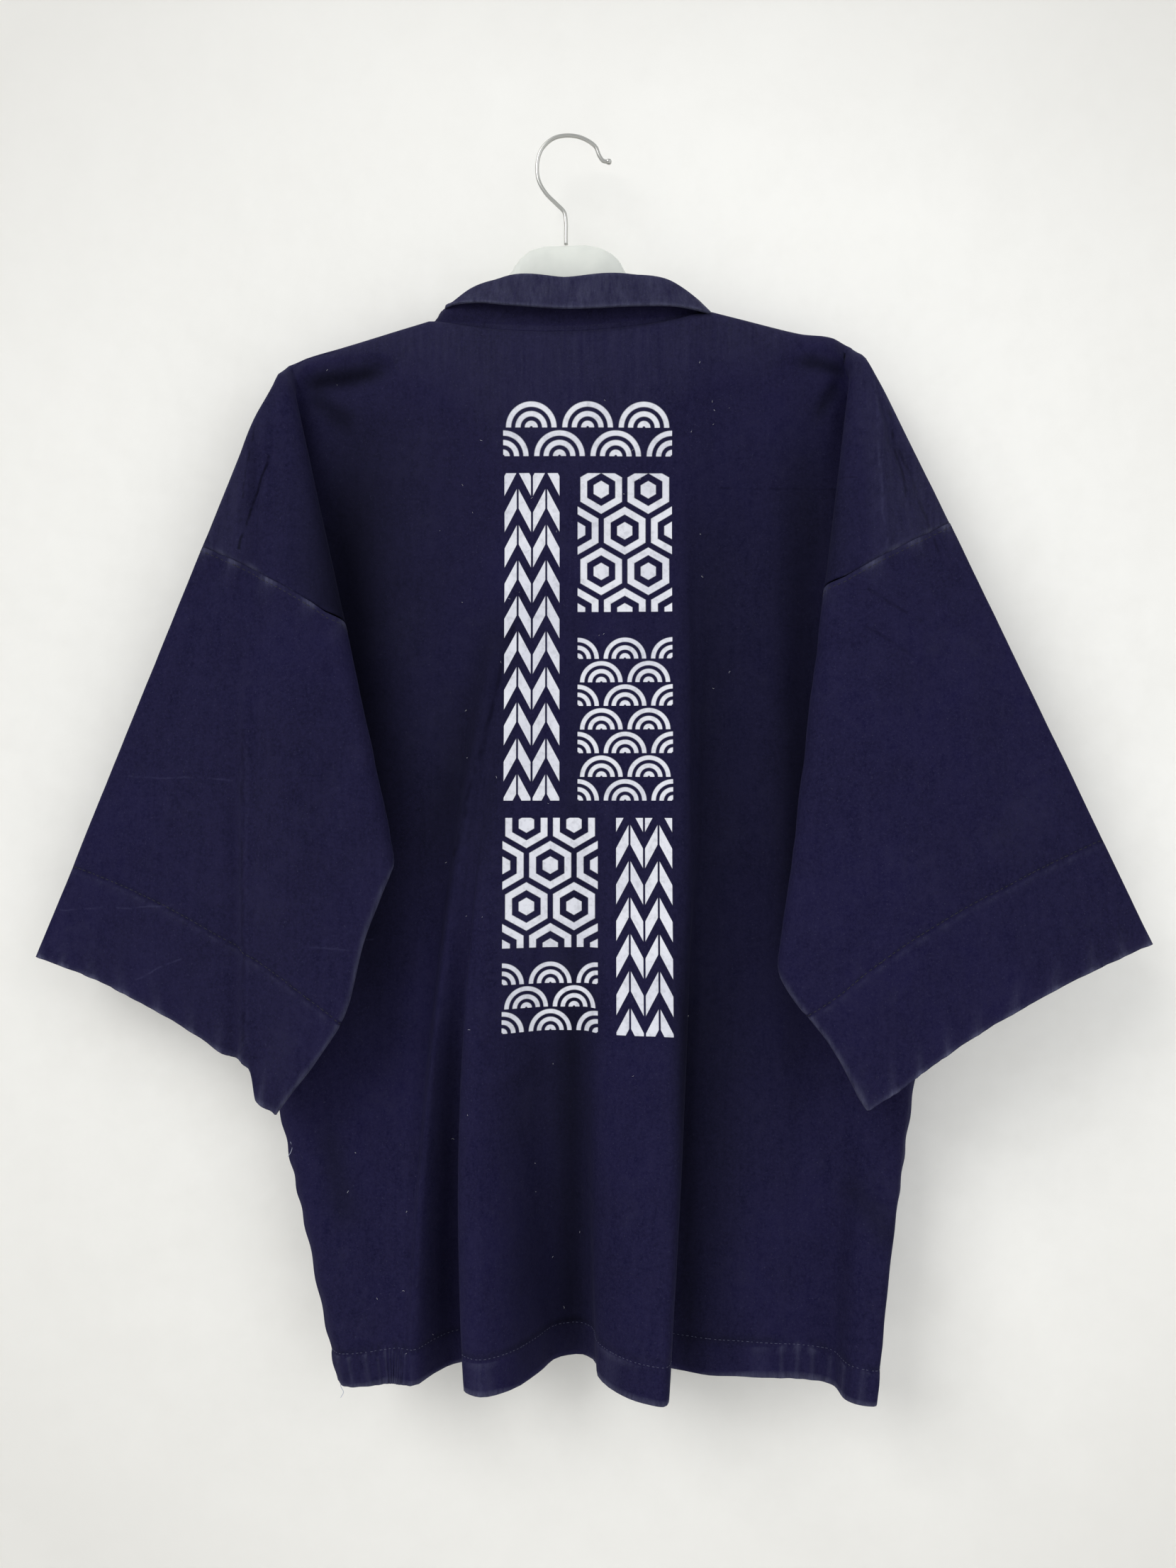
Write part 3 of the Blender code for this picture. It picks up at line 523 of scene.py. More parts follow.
class Nodes:
    # short calls for a node tree; constants go straight onto the sockets
    def __init__(self, name):
        # a material with its shader and its Object coordinates
        self.material = bpy.data.materials.new(name)
        self.material.use_nodes = True
        self.tree = self.material.node_tree
        self.shader = self.tree.nodes["Principled BSDF"]
        self.place = self.make("ShaderNodeTexCoord").outputs["Object"]

    def make(self, kind, **settings):
        # a node with its settings
        node = self.tree.nodes.new(kind)
        for key, value in settings.items():
            setattr(node, key, value)
        return node

    def put(self, value, socket):
        # a link from a socket, or a constant on it
        if hasattr(value, "is_output"):
            self.tree.links.new(value, socket)
        else:
            socket.default_value = value

    def calc(self, operation, *values, clamp=False):
        # one math node of the values
        node = self.make("ShaderNodeMath", operation=operation, use_clamp=clamp)
        for value, socket in zip(values, node.inputs):
            self.put(value, socket)
        return node.outputs[0]

    def times(self, a, b):
        # a * b
        return self.calc("MULTIPLY", a, b)

    def plus(self, a, b):
        # a + b
        return self.calc("ADD", a, b)

    def minus(self, a, b):
        # a - b
        return self.calc("SUBTRACT", a, b)

    def size(self, a):
        # |a|
        return self.calc("ABSOLUTE", a)

    def offRound(self, a):
        # distance from the nearest whole number, with its sign
        return self.minus(a, self.calc("ROUND", a))

    def mix(self, share, a, b):
        # a + share * (b - a)
        node = self.make("ShaderNodeMix", data_type="RGBA")
        for value, index in ((share, 0), (a, 6), (b, 7)):
            self.put(value, node.inputs[index])
        return node.outputs[2]

    def noise(self, vector, scale, detail, rough=0.5):
        # fractal noise, mostly between 0.3 and 0.7
        node = self.make("ShaderNodeTexNoise")
        for name, value in (("Vector", vector), ("Scale", scale), ("Detail", detail), ("Roughness", rough)):
            self.put(value, node.inputs[name])
        return node.outputs["Fac"]

    def spread(self, value, low, high, toLow=0.0, toHigh=1.0):
        # straight from low and high to toLow and toHigh, level beyond them
        node = self.make("ShaderNodeMapRange", clamp=True)
        for name, item in (("Value", value), ("From Min", low), ("From Max", high),
                           ("To Min", toLow), ("To Max", toHigh)):
            self.put(item, node.inputs[name])
        return node.outputs[0]

    def step(self, value, edge, soft):
        # 0 below the edge and 1 above it, over a soft width
        return self.spread(value, edge - soft, edge + soft)

    def below(self, value, edge, soft):
        # 1 - step
        return self.minus(1.0, self.step(value, edge, soft))

    def within(self, value, low, high, soft=0.15 * mm):
        # step at low times below at high
        return self.times(self.step(value, low, soft), self.below(value, high, soft))

    def cloud(self, place, row, toLow=0.0, toHigh=1.0):
        # noise of a scale, detail and roughness, spread between low and high
        scale, detail, rough, low, high = row
        return self.spread(self.noise(place, scale, detail, rough), low, high, toLow, toHigh)

    def layer(self, colour, place, row):
        # the row's cloud times its amount mixes in its colour
        _, *cloud, amount, tint = row
        return self.mix(self.times(self.cloud(place, cloud), amount), colour, (*tint, 1))

    def finish(self, colour=None, bump=None, **inputs):
        # colour, bump as (height, distance, strength) and plain inputs of the shader
        if colour is not None:
            self.put(colour, self.shader.inputs["Base Color"])
        if bump is not None:
            node = self.make("ShaderNodeBump")
            for name, value in zip(("Height", "Distance", "Strength"), bump):
                self.put(value, node.inputs[name])
            self.put(node.outputs[0], self.shader.inputs["Normal"])
        for key, value in inputs.items():
            self.put(value, self.shader.inputs[key.replace("_", " ")])
        return self.material


# print: shares of each motif's pitch
printLook = {
    "rings": 3.0, "ringAt": 0.42, "ringHalf": 0.27, "ringSoft": 0.05, "scaleRim": 0.985, "rimSoft": 0.01,
    "featherRise": 1.25, "featherSlant": 1.5, "barHalf": 0.27, "barSoft": 0.012, "quillHalf": 0.035,
    "featherRim": 0.462, "hexInner": 0.30, "hexOuter": 0.44, "hexCore": 0.16, "hexSoft": 0.008,
    "ink": (0.64, 0.65, 0.71, 1), "inkDull": (0.56, 0.57, 0.64, 1), "thinnest": 0.80,
    "thinCloud": (260.0, 4.0, 0.6, 0.30, 0.50), "dullCloud": (25.0, 3.0, 0.5, 0.4, 0.65),
}


def scallops(n, x, z, pitch):
    # overlapping wave scales: in each cell the lowest of the circles that reach it wins;
    # row centres every half pitch in z, shifted half a pitch in x on odd rows
    look, half = printLook, pitch * 0.5
    row = n.calc("FLOOR", n.calc("DIVIDE", z, half))
    result = 0.0
    for below in (0.0, 1.0, 2.0):
        centreRow = n.minus(row, below)
        shift = n.times(n.calc("FLOORED_MODULO", centreRow, 2.0), 0.5)
        nearX = n.times(n.offRound(n.minus(n.calc("DIVIDE", x, pitch), shift)), pitch)
        nearZ = n.minus(z, n.times(centreRow, half))
        reach = n.calc("SQRT", n.plus(n.times(nearX, nearX), n.times(nearZ, nearZ)))
        share = n.calc("DIVIDE", reach, half)
        # light bands in each circle
        bands = n.size(n.minus(n.calc("FRACT", n.times(share, look["rings"])), look["ringAt"]))
        light = n.below(bands, look["ringHalf"], look["ringSoft"])
        inside = n.below(share, look["scaleRim"], look["rimSoft"])
        result = n.plus(n.times(result, n.minus(1.0, inside)), n.times(light, inside))
    return result


def arrowFeathers(n, x, z, pitch):
    # columns of slanted bars that mirror from column to column, split by a quill line
    look = printLook
    across = n.size(n.minus(n.calc("FRACT", n.calc("DIVIDE", x, pitch)), 0.5))
    lifted = n.plus(n.calc("DIVIDE", z, pitch * look["featherRise"]), n.times(across, look["featherSlant"]))
    bars = n.size(n.minus(n.calc("FRACT", lifted), 0.5))
    light = n.below(bars, look["barHalf"], look["barSoft"])
    quill = n.step(across, look["quillHalf"], look["rimSoft"])
    return n.times(n.times(light, quill), n.below(across, look["featherRim"], look["rimSoft"]))


def hexagons(n, x, z, pitch):
    # distance to the nearest hexagon centre of two staggered lattices
    look, tall = printLook, 1.732
    best = 9.0
    for shift in (0.0, 0.5):
        dx = n.size(n.offRound(n.minus(n.calc("DIVIDE", x, pitch), shift)))
        dz = n.times(n.size(n.offRound(n.minus(n.calc("DIVIDE", z, pitch * tall), shift))), tall)
        slant = n.plus(n.times(dx, 0.5), n.times(dz, 0.866))
        best = n.calc("MINIMUM", best, n.calc("MAXIMUM", dx, slant))
    soft = look["hexSoft"]
    ring = n.minus(n.step(best, look["hexInner"], soft), n.step(best, look["hexOuter"], soft))
    return n.calc("MAXIMUM", ring, n.below(best, look["hexCore"], soft))


motifs = {"scallops": scallops, "feathers": arrowFeathers, "hexagons": hexagons}

# pattern panels of the print in millimetres: kind, x from, x to, z from, z to, pitch
printPanels = (
    ("scallops", -46, 72, -227.3, -188.5, 39.33),
    ("feathers", -46, -6, -468, -239, 20.0),
    ("hexagons", 6, 72, -336, -239, 33.0),
    ("scallops", 6, 72, -468, -353.1, 33.0),
    ("hexagons", -46, 20, -570, -480, 33.0),
    ("feathers", 32, 72, -628, -480, 20.0),
    ("scallops", -46, 20, -628, -579.1, 33.0),
)

# thin lines along the creases, dark ones painted shade, pale ones painted highlight on ridges and worn pale
# on old fold lines: both ends x, z, half width, darkness or minus paleness
creaseLightLines = (
    ("drag one", -204, -232, -226, -296, 1.3, 0.75),
    ("drag two", -214, -212, -222, -262, 1.1, 0.50),
    ("drag three", -228, -232, -252, -300, 1.2, 0.40),
    ("long crease side", -219, -420, -218, -690, 1.8, 0.28),
    ("long crease light", -216, -420, -215, -690, 1.8, -0.07),
    ("old outer crease", -309, -451, -227, -453, 0.9, -0.16),
    ("old cuff crease", -352, -544, -262, -538, 0.9, -0.18),
    ("old cuff crease two", -295, -590, -261, -573, 0.9, -0.18),
    ("old inner crease", -171, -565, -137, -566, 0.9, -0.16),
    ("long fold edge", -27, -297, -79, -507, 2.2, 0.45),
    ("yoke crease", 106, -249, 196, -249, 1.0, 0.35),
    ("right ridge shade", 219, -196, 230, -262, 1.6, 0.55),
    ("right ridge light", 209, -176, 214, -300, 1.5, -0.14),
    ("right drag", 226, -226, 250, -300, 1.5, 0.40),
    ("right wrinkle", 200, -326, 236, -348, 1.6, 0.30),
    ("right wrinkle two", 198, -352, 230, -372, 1.6, 0.25),
)

clothLook = {
    "dye": (0.0040, 0.0036, 0.0210, 1), "dyeInside": (0.0038, 0.0033, 0.0170, 1),
    # the next two colours are painted shade, mixed in where the wear attribute is below zero
    "paintedShade": (0.0050, 0.0061, 0.0092, 1), "deepestPaintedShade": (0.0003, 0.0003, 0.0020, 1),
    # crease colours: painted shade, and painted highlight with worn pale fold lines
    "creaseShade": (0.0010, 0.0009, 0.0050, 1), "creasePaleAndHighlight": (0.050, 0.050, 0.110, 1),
    "rubbed": (0.19, 0.20, 0.30, 1), "sheenTint": (0.50, 0.50, 0.95, 1),
    "roughness": 0.88, "specular": 0.05, "sheen": 0.028, "sheenRoughness": 0.45,
    "warpStretch": (1.0, 1.0, 0.07), "weaveWave": 7850.0, "weaveHeight": 0.00003,
    "fibreHeight": 0.00012, "crumpleHeight": 0.0017, "bumpStrength": 0.55, "lineWobble": 0.0022,
    "lineEdge": 0.25, "leastRub": 0.15, "fibreNoise": (1400.0, 2.0, 0.6), "crumpleNoise": (46.0, 5.0, 0.62),
    "wobbleCloud": (34.0, 3.0, 0.5, 0.2, 0.8), "brokenCloud": (130.0, 2.0, 0.5, 0.38, 0.56),
    "rubCloud": (300.0, 6.0, 0.75, 0.30, 0.66),
}

# layers of dye and fading: noise scale, detail, roughness, low, high, amount, colour
clothLayers = (
    ("violet", 5.0, 4.0, 0.55, 0.40, 0.62, 0.60, (0.0074, 0.0058, 0.0360)),
    ("washed grey", 3.1, 5.0, 0.6, 0.46, 0.64, 0.62, (0.0075, 0.0075, 0.0180)),
    ("mottle", 120.0, 6.0, 0.75, 0.40, 0.64, 0.48, (0.0140, 0.0125, 0.0395)),
    ("blotch", 26.0, 7.0, 0.72, 0.42, 0.62, 0.42, (0.0030, 0.0027, 0.0130)),
    ("smudge", 15.0, 8.0, 0.75, 0.55, 0.70, 0.40, (0.0185, 0.0185, 0.0410)),
    ("warp streak", 190.0, 5.0, 0.7, 0.38, 0.68, 0.34, (0.0140, 0.0125, 0.0395)),
    ("thread grain", 520.0, 5.0, 0.8, 0.38, 0.62, 0.72, (0.0138, 0.0126, 0.0430)),
    ("speck", 1000.0, 2.0, 0.5, 0.64, 0.76, 0.45, (0.042, 0.041, 0.080)),
)


def paintCreaseLight(n, colour, x, z):
    # lines along the creases from the distance to a segment with a wobble: dark ones painted shade, pale ones
    # painted highlight on ridges and worn pale on old fold lines
    reach = clothLook["lineWobble"]
    wobble = n.cloud(n.place, clothLook["wobbleCloud"], -reach, reach)
    broken = n.cloud(n.place, clothLook["brokenCloud"])
    for _, x0, z0, x1, z1, half, dark in creaseLightLines:
        size = math.hypot(x1 - x0, z1 - z0)
        alongX, alongZ = (x1 - x0) / size, (z1 - z0) / size
        fromX, fromZ = n.minus(x, x0 * mm), n.minus(z, z0 * mm)
        ahead = n.plus(n.times(fromX, alongX), n.times(fromZ, alongZ))
        off = n.plus(n.minus(n.times(fromX, alongZ), n.times(fromZ, alongX)), wobble)
        line = n.spread(n.size(off), half * clothLook["lineEdge"] * mm, half * mm, 1.0, 0.0)
        line = n.times(n.times(line, n.within(ahead, 0.0, size * mm)), broken)
        tint = clothLook["creaseShade"] if dark > 0 else clothLook["creasePaleAndHighlight"]
        colour = n.mix(n.times(line, abs(dark)), colour, tint)
    return colour


def printedOnto(n, colour, x, z):
    # the highest of all panels' motifs covers the dye with ink, thinned by a noise
    cover = 0.0
    for kind, x0, x1, z0, z1, pitch in printPanels:
        shape = motifs[kind](n, n.minus(x, x0 * mm), n.minus(z, z0 * mm), pitch * mm)
        area = n.times(n.within(x, x0 * mm, x1 * mm), n.within(z, z0 * mm, z1 * mm))
        cover = n.calc("MAXIMUM", cover, n.times(shape, area))
    thin = n.cloud(n.place, printLook["thinCloud"], printLook["thinnest"], 1.0)
    ink = n.mix(n.cloud(n.place, printLook["dullCloud"]), printLook["ink"], printLook["inkDull"])
    return n.mix(n.times(cover, thin), colour, ink)


def clothMaterial(name, printed=False, inside=False):
    # dye, fading layers, rubbed places and painted shade by the wear attribute, painted shade and highlight
    # along creases, print and weave
    n, look = Nodes(name), clothLook
    stretch = n.make("ShaderNodeMapping")
    n.put(n.place, stretch.inputs["Vector"])
    n.put(look["warpStretch"], stretch.inputs["Scale"])
    warpPlace = stretch.outputs[0]
    colour = look["dyeInside"] if inside else look["dye"]
    for row in clothLayers:
        colour = n.layer(colour, warpPlace if row[0] == "warp streak" else n.place, row)
    # wear above zero is rubbed pale; below zero it is painted shade, dark and greyish, in valleys, hollows,
    # stitch grooves and on the collar stand
    wearAndShade = n.make("ShaderNodeAttribute", attribute_name="wearAndShade").outputs["Fac"]
    paintedShade = n.calc("MULTIPLY", n.calc("MINIMUM", wearAndShade, 0.0), -1.0, clamp=True)
    colour = n.mix(paintedShade, colour, n.mix(paintedShade, look["paintedShade"], look["deepestPaintedShade"]))
    split = n.make("ShaderNodeSeparateXYZ")
    n.put(n.place, split.inputs[0])
    x, z = split.outputs[0], split.outputs[2]
    # painted shade and highlight along the creases
    colour = paintCreaseLight(n, colour, x, z)
    rubbed = n.cloud(warpPlace, look["rubCloud"], look["leastRub"], 1.0)
    colour = n.mix(n.times(n.calc("MAXIMUM", wearAndShade, 0.0), rubbed), colour, look["rubbed"])
    if printed:
        colour = printedOnto(n, colour, x, z)
    # weave: sin(x) sin(z) with 7850 radians a metre, threads 0.8 mm apart; then fibres and crumple
    warp, weft = (n.calc("SINE", n.times(part, look["weaveWave"])) for part in (x, z))
    height = n.plus(n.times(n.times(warp, weft), look["weaveHeight"]),
                    n.times(n.noise(n.place, *look["fibreNoise"]), look["fibreHeight"]))
    height = n.plus(height, n.times(n.noise(n.place, *look["crumpleNoise"]), look["crumpleHeight"]))
    return n.finish(colour, (height, 1.0, look["bumpStrength"]), Roughness=look["roughness"],
                    Specular_IOR_Level=look["specular"], Sheen_Weight=look["sheen"],
                    Sheen_Roughness=look["sheenRoughness"], Sheen_Tint=look["sheenTint"])


def plainMaterial(name, colour, roughness, metallic=0.0):
    # one colour and one roughness all over
    return Nodes(name).finish((*colour, 1), Roughness=roughness, Metallic=metallic)


navy = clothMaterial("navyCotton")
navyPrinted = clothMaterial("navyCottonPrinted", printed=True)
navyInside = clothMaterial("navyCottonInside", inside=True)
threadPale = plainMaterial("paleThread", (0.30, 0.32, 0.42), 0.8)
threadMid = plainMaterial("hemThreadNavy", (0.060, 0.062, 0.115), 0.8)
threadDark = plainMaterial("darkThread", (0.004, 0.004, 0.012), 0.8)
lintWhite = plainMaterial("lint", (0.55, 0.56, 0.60), 0.9)
print("materials ready")

# lengthwise folds of the back: x at the shoulder, half length and hem, depth at the last two
backFolds = (
    ("left side seam", -335.3, -240, -157.5, -1.1, -31),
    ("left roll", -318, -234, -150, -3.5, -41),
    ("left panel", -262, -200, -132, -4.2, -43),
    ("left ridge", -200, -160, -121, -5, -41),
    ("left hollow", -130, -115, -116, -4, -42),
    ("left neck point", -98.5, -104, -114.5, -4, -43),
    ("foot of long fold", -20, -83, -111, -4, -44),
    ("long fold", 4, -75, -106, -16, -46),
    ("long fold slope", 9, -71, -93, -16, -30),
    ("first valley", 13, -67.5, -80, -15, -16),
    ("under centre fold", 16.5, -65, -62, -15, -12),
    ("turn of centre fold", 19.5, -62.5, -53, -15, -28),
    ("centre fold edge", 23, -60, -68.4, -17, -56),
    ("centre fold crown", 27, -55, -57, -18, -65),
    ("centre fold slope", 32, -44, -39, -16, -57),
    ("centre bank", 38, -28, -21, -14, -33),
    ("centre valley left", 43, -12, -6, -13, -8),
    ("centre valley right", 47, 4, 10, -13, -4),
    ("step foot", 50, 14, 17.5, -13, -12),
    ("step head", 53, 22, 20.5, -14, -37),
    ("right fold bank", 58, 38, 33, -16, -60),
    ("right fold crown", 66, 60, 49, -17, -74),
    ("right fold edge", 80, 81.5, 61.5, -19, -77),
    ("turn of right fold", 85, 85.5, 66, -15, -62),
    ("under right fold", 90, 89, 48, -12, -36),
    ("foot turn", 95, 92.5, 51, -9, -20),
    ("right fold foot", 100, 98, 74, -7, -21),
    ("right trough", 125, 128, 103, -4, -25),
    ("right ridge", 155, 152, 138, -8, -30),
    ("valley by sleeve", 195, 172, 158, -4.2, -29),
    ("right valley floor", 250, 204, 178, -4.2, -33),
    ("right roll", 300, 236, 187, -4.2, -58),
    ("right corner", 325, 258, 201, -3.5, -61),
    ("right side seam", 338.2, 266, 205, -1.1, -40),
)


def sheetGrid(columns, counts, layer, face, spacing):
    # splines through the columns at every row, from shoulder to hem; columns run left to right
    top, mid, hem, midY, hemY = columns
    plan = np.array([rowPlan(a, b, c) for a, b, c in zip(top, mid, hem)]).T
    down = densify(plan, spacing)
    t = down / cut["bodyLength"]
    x = throughThree(top, mid, hem, t)
    y = growth(layer, midY, hemY, t)
    flat = chordSpline(np.stack([x, y], axis=-1), counts)
    level = chordSpline(np.stack([np.broadcast_to(top, x.shape), down], axis=-1), counts)
    grid = bodyPoint(level[..., 0], flat[..., 0], flat[..., 1], level[..., 1], face)
    return grid, level[..., 0], level[..., 1]


def turnedRound(*grids):
    # columns the other way round, so that the normals face the camera
    return tuple(grid[:, ::-1] for grid in grids)


# rows of (place, half width, height or strength); waves are (wave, drift, drift wave)
hemBand = {
    "width": 23, "cuffWidth": {"left": 68, "right": 76}, "waves": (4.3, 1.6, 27), "slant": 9,
    "ease": 5, "rise": 0.35, "dents": 0.45, "groove": (0, 1.6, -0.5),
}
armhole = {
    "at": {"left": -335.3, "right": 338.2}, "waves": (4.9, 1.2, 23), "pucker": 0.8, "puckerReach": 12,
    "groove": (0, 1.3, -0.25),
}
bodyWrinkles = ((0.085, 3, 0.9), (0.030, 5, 0.30))
sleeveStart = {"from": 196, "ease": 10}


def wrinkles(points, rows):
    # sum of wrinkle noises: scale, seed and height in millimetres
    return sum(wrinkleNoise(points, scale, seed) * height * mm for scale, seed, height in rows)


def facingOf(normal, gain=1.3):
    # how far a face turns to or from the camera: min(1, gain |ny|)
    return np.clip(np.abs(normal[..., 1]) * gain, 0, 1)


def armholeRelief(edge, pucker):
    # puckers that fade as exp(-edge / reach), and a groove along the seam
    fading = pucker * armhole["pucker"] * np.exp(-edge / armhole["puckerReach"])
    return (fading + lineOf(edge, armhole["groove"])) * mm


def bodyRelief(points, normal, topX, down):
    # creases, wrinkles, armhole puckers and the turned hem band, on faces towards the camera
    beyond = smooth((np.abs(topX) / mm - sleeveStart["from"]) / sleeveStart["ease"])
    total = creaseField(points, backCreases) * (1 - beyond) + wrinkles(points, bodyWrinkles)
    for name, side in sides.items():
        total += creaseField(points, creases[name]) * beyond * (topX * side["sign"] > 0)
    edge = np.minimum(*(np.abs(topX / mm - at) for at in armhole["at"].values()))
    total += armholeRelief(edge, waves(down / mm, armhole["waves"]))
    fromHem = (cut["bodyLength"] - down) / mm
    band = smooth((hemBand["width"] - fromHem) / hemBand["ease"])
    dents = waves(topX / mm, hemBand["waves"], fromHem / hemBand["slant"])
    total += band * (hemBand["rise"] + hemBand["dents"] * dents) * mm
    total += lineOf(fromHem - hemBand["width"], hemBand["groove"]) * mm
    return total * facingOf(normal)


def thicken(mid, relief, half, squareTop=None):
    # moves the mid surface by its relief, then offsets both faces along fresh normals
    moved = mid + normalsOf(mid) * relief[..., None]
    normal = normalsOf(moved)
    if squareTop is not None:
        neck = np.abs(squareTop) < cut["neckReach"]
        normal[0, :, 1] *= neck
        normal[0, :, 2] *= ~neck
        normal[0] = unit(normal[0])
    return moved + normal * half, moved - normal * half, normal


# back: columns between two folds, row spacing, and rows of wear and of painted shade beside the hem stitch
backLook = {
    "counts": [9, 14, 15, 14, 5, 14, 5, 3, 3, 3, 4, 4, 4, 4, 3, 4, 3, 3, 3, 3, 4, 5, 4, 4, 3, 3, 5, 6,
               9, 15, 14, 8, 7],
    "spacing": 5.6, "topEase": 6, "seam": (0, 2.0, 0.06), "seamRidges": (0, 2.0, 0.22),
    "hemEdge": (0, 1.8, 0.30), "bandEase": 4, "bandWaves": 0.07, "stitchPale": (-1.8, 1.3, 0.065),
    "stitchGrooveShade": (1.2, 1.6, -0.30), "topPaler": 0.040, "yokeReach": 150, "shoulderFold": (0, 3, 0.10),
}
backTable = np.array([row[1:] for row in backFolds]).T * mm
backGrids = sheetGrid(backTable, backLook["counts"], -cut["layerHalfGap"], -1, backLook["spacing"] * mm)
flatBack, backTop, backDown = turnedRound(*backGrids)
midBack = nudge(foldBoth(flatBack), outlineNudges)
relief = bodyRelief(midBack, normalsOf(midBack), backTop, backDown)
relief *= smooth(backDown / (backLook["topEase"] * mm))
outerBack, innerBack, normalBack = thicken(midBack, relief, cut["clothHalf"], backTop[0])
seamEdge = np.minimum(np.abs(backTop - backTop[:, :1]), np.abs(backTop - backTop[:, -1:])) / mm
fromHem = (cut["bodyLength"] - backDown) / mm
fromStitch = fromHem - hemBand["width"]
seamValleys = np.clip(-waves(backDown / mm, armhole["waves"]), 0, 1)
hemDent = waves(backTop / mm, hemBand["waves"])
wearAndShadeBack = (
    lineOf(seamEdge, backLook["seam"]) + lineOf(seamEdge, backLook["seamRidges"]) * seamValleys ** 2
    + lineOf(fromHem, backLook["hemEdge"])
    + smooth(-fromStitch / backLook["bandEase"]) * backLook["bandWaves"] * np.clip(hemDent, 0, 1) ** 3
    + lineOf(fromStitch, backLook["stitchPale"]) * (1 + hemDent)
    # painted shade beside the hem stitch's groove
    + lineOf(fromStitch, backLook["stitchGrooveShade"])
    # painted shade in the back's valleys and hollows from the shade zones
    - creaseField(midBack, paintedShadeZones) / mm
    # paler over the top 150 mm of the back
    + backLook["topPaler"] * smooth(1 - backDown / (backLook["yokeReach"] * mm))
    + lineOf(backDown / mm, backLook["shoulderFold"]) * (np.abs(backTop) > cut["neckReach"]))
backCloth = shell("backCloth", outerBack, innerBack, [navyPrinted, navyInside], wearAndShadeBack)
print("back", outerBack.shape, "area", round(areaOf(midBack), 3))

# fronts: side rows are share across, depth at the middle and the hem, share of the back's depth;
# folds are shares of the way to the collar at the top, middle and hem, then depths at the last two
frontLook = {
    "sideCount": 6, "counts": [4, 3, 3, 4, 8], "spacing": 7, "seamMid": 76, "seamHem": 70,
    "wrinkles": ((0.07, 11, 0.4),), "topEase": 10, "sideEdge": (336.5, 2.4, 0.35), "hemEdge": (0, 1.6, 0.4),
}
frontSide = ((0.0, 1.1, 2.2, 1.0), (0.06, 4.2, 3.0, 0.9), (0.25, 5, 4, 0.5), (0.5, 6, 4, 0.0))
frontFolds = (
    ("fold edge", 0.70, 0.67, 0.78, 8, 10),
    ("fold turn", 0.73, 0.69, 0.80, 9, 14),
    ("under fold", 0.76, 0.705, 0.50, 11, 18),
    ("under turn", 0.79, 0.72, 0.48, 13, 22),
    ("fold foot", 0.83, 0.76, 0.70, 14, 25),
    ("collar seam", 1.0, 1.0, 1.0, 13, 20),
)


def frontColumns(side):
    # the side's columns of the back, then the folds by their shares of the way to the collar
    sign = side["sign"]
    shared = backFolds[:4] if sign < 0 else backFolds[:-6:-1]
    top, mid, hem, _, hemY = np.array([row[1:] for row in shared]).T * mm
    seamMid, seamHem = sign * frontLook["seamMid"] * mm, sign * frontLook["seamHem"] * mm
    shareAt, midAt, hemAt, partAt = np.array(frontSide).T
    midShare = (mid - mid[0]) / (seamMid - mid[0])
    hemShare = (hem - hem[0]) / (seamHem - hem[0])
    sideMid = np.interp(midShare, shareAt, midAt) * mm
    sideHem = (np.interp(hemShare, shareAt, hemAt) * mm
               + np.interp(hemShare, shareAt, partAt) * hemY[0])
    rows = np.array([row[1:] for row in frontFolds])
    top = np.append(top, top[0] + (side["neck"][0] * mm - top[0]) * rows[:, 0])
    mid = np.append(mid, mid[0] + (seamMid - mid[0]) * rows[:, 1])
    hem = np.append(hem, hem[0] + (seamHem - hem[0]) * rows[:, 2])
    return (top, mid, hem, np.append(sideMid, rows[:, 3] * mm), np.append(sideHem, rows[:, 4] * mm))


fronts = {}
for name, side in sides.items():
    columns = frontColumns(side)
    frontCounts = [frontLook["sideCount"]] * (len(columns[0]) - len(frontFolds)) + frontLook["counts"]
    grids = sheetGrid(columns, frontCounts, cut["layerHalfGap"], 1, frontLook["spacing"] * mm)
    flatFront, frontTop, frontDown = turnedRound(*grids) if side["sign"] > 0 else grids
    midFront = nudge(foldBoth(flatFront), outlineNudges)
    relief = wrinkles(midFront, frontLook["wrinkles"]) * smooth(frontDown / (frontLook["topEase"] * mm))
    relief *= np.abs(normalsOf(midFront)[..., 1])
    outer, inner, _ = thicken(midFront, relief, cut["clothHalf"], frontTop[0])
    wearFront = (lineOf(np.abs(frontTop) / mm, frontLook["sideEdge"])
                 + lineOf((cut["bodyLength"] - frontDown) / mm, frontLook["hemEdge"]))
    piece = shell("front" + name.capitalize() + "Cloth", outer, inner, [navy, navyInside], wearFront)
    fronts[name] = (piece, areaOf(midFront))
    print("front", name, outer.shape, "area", round(areaOf(midFront), 3))

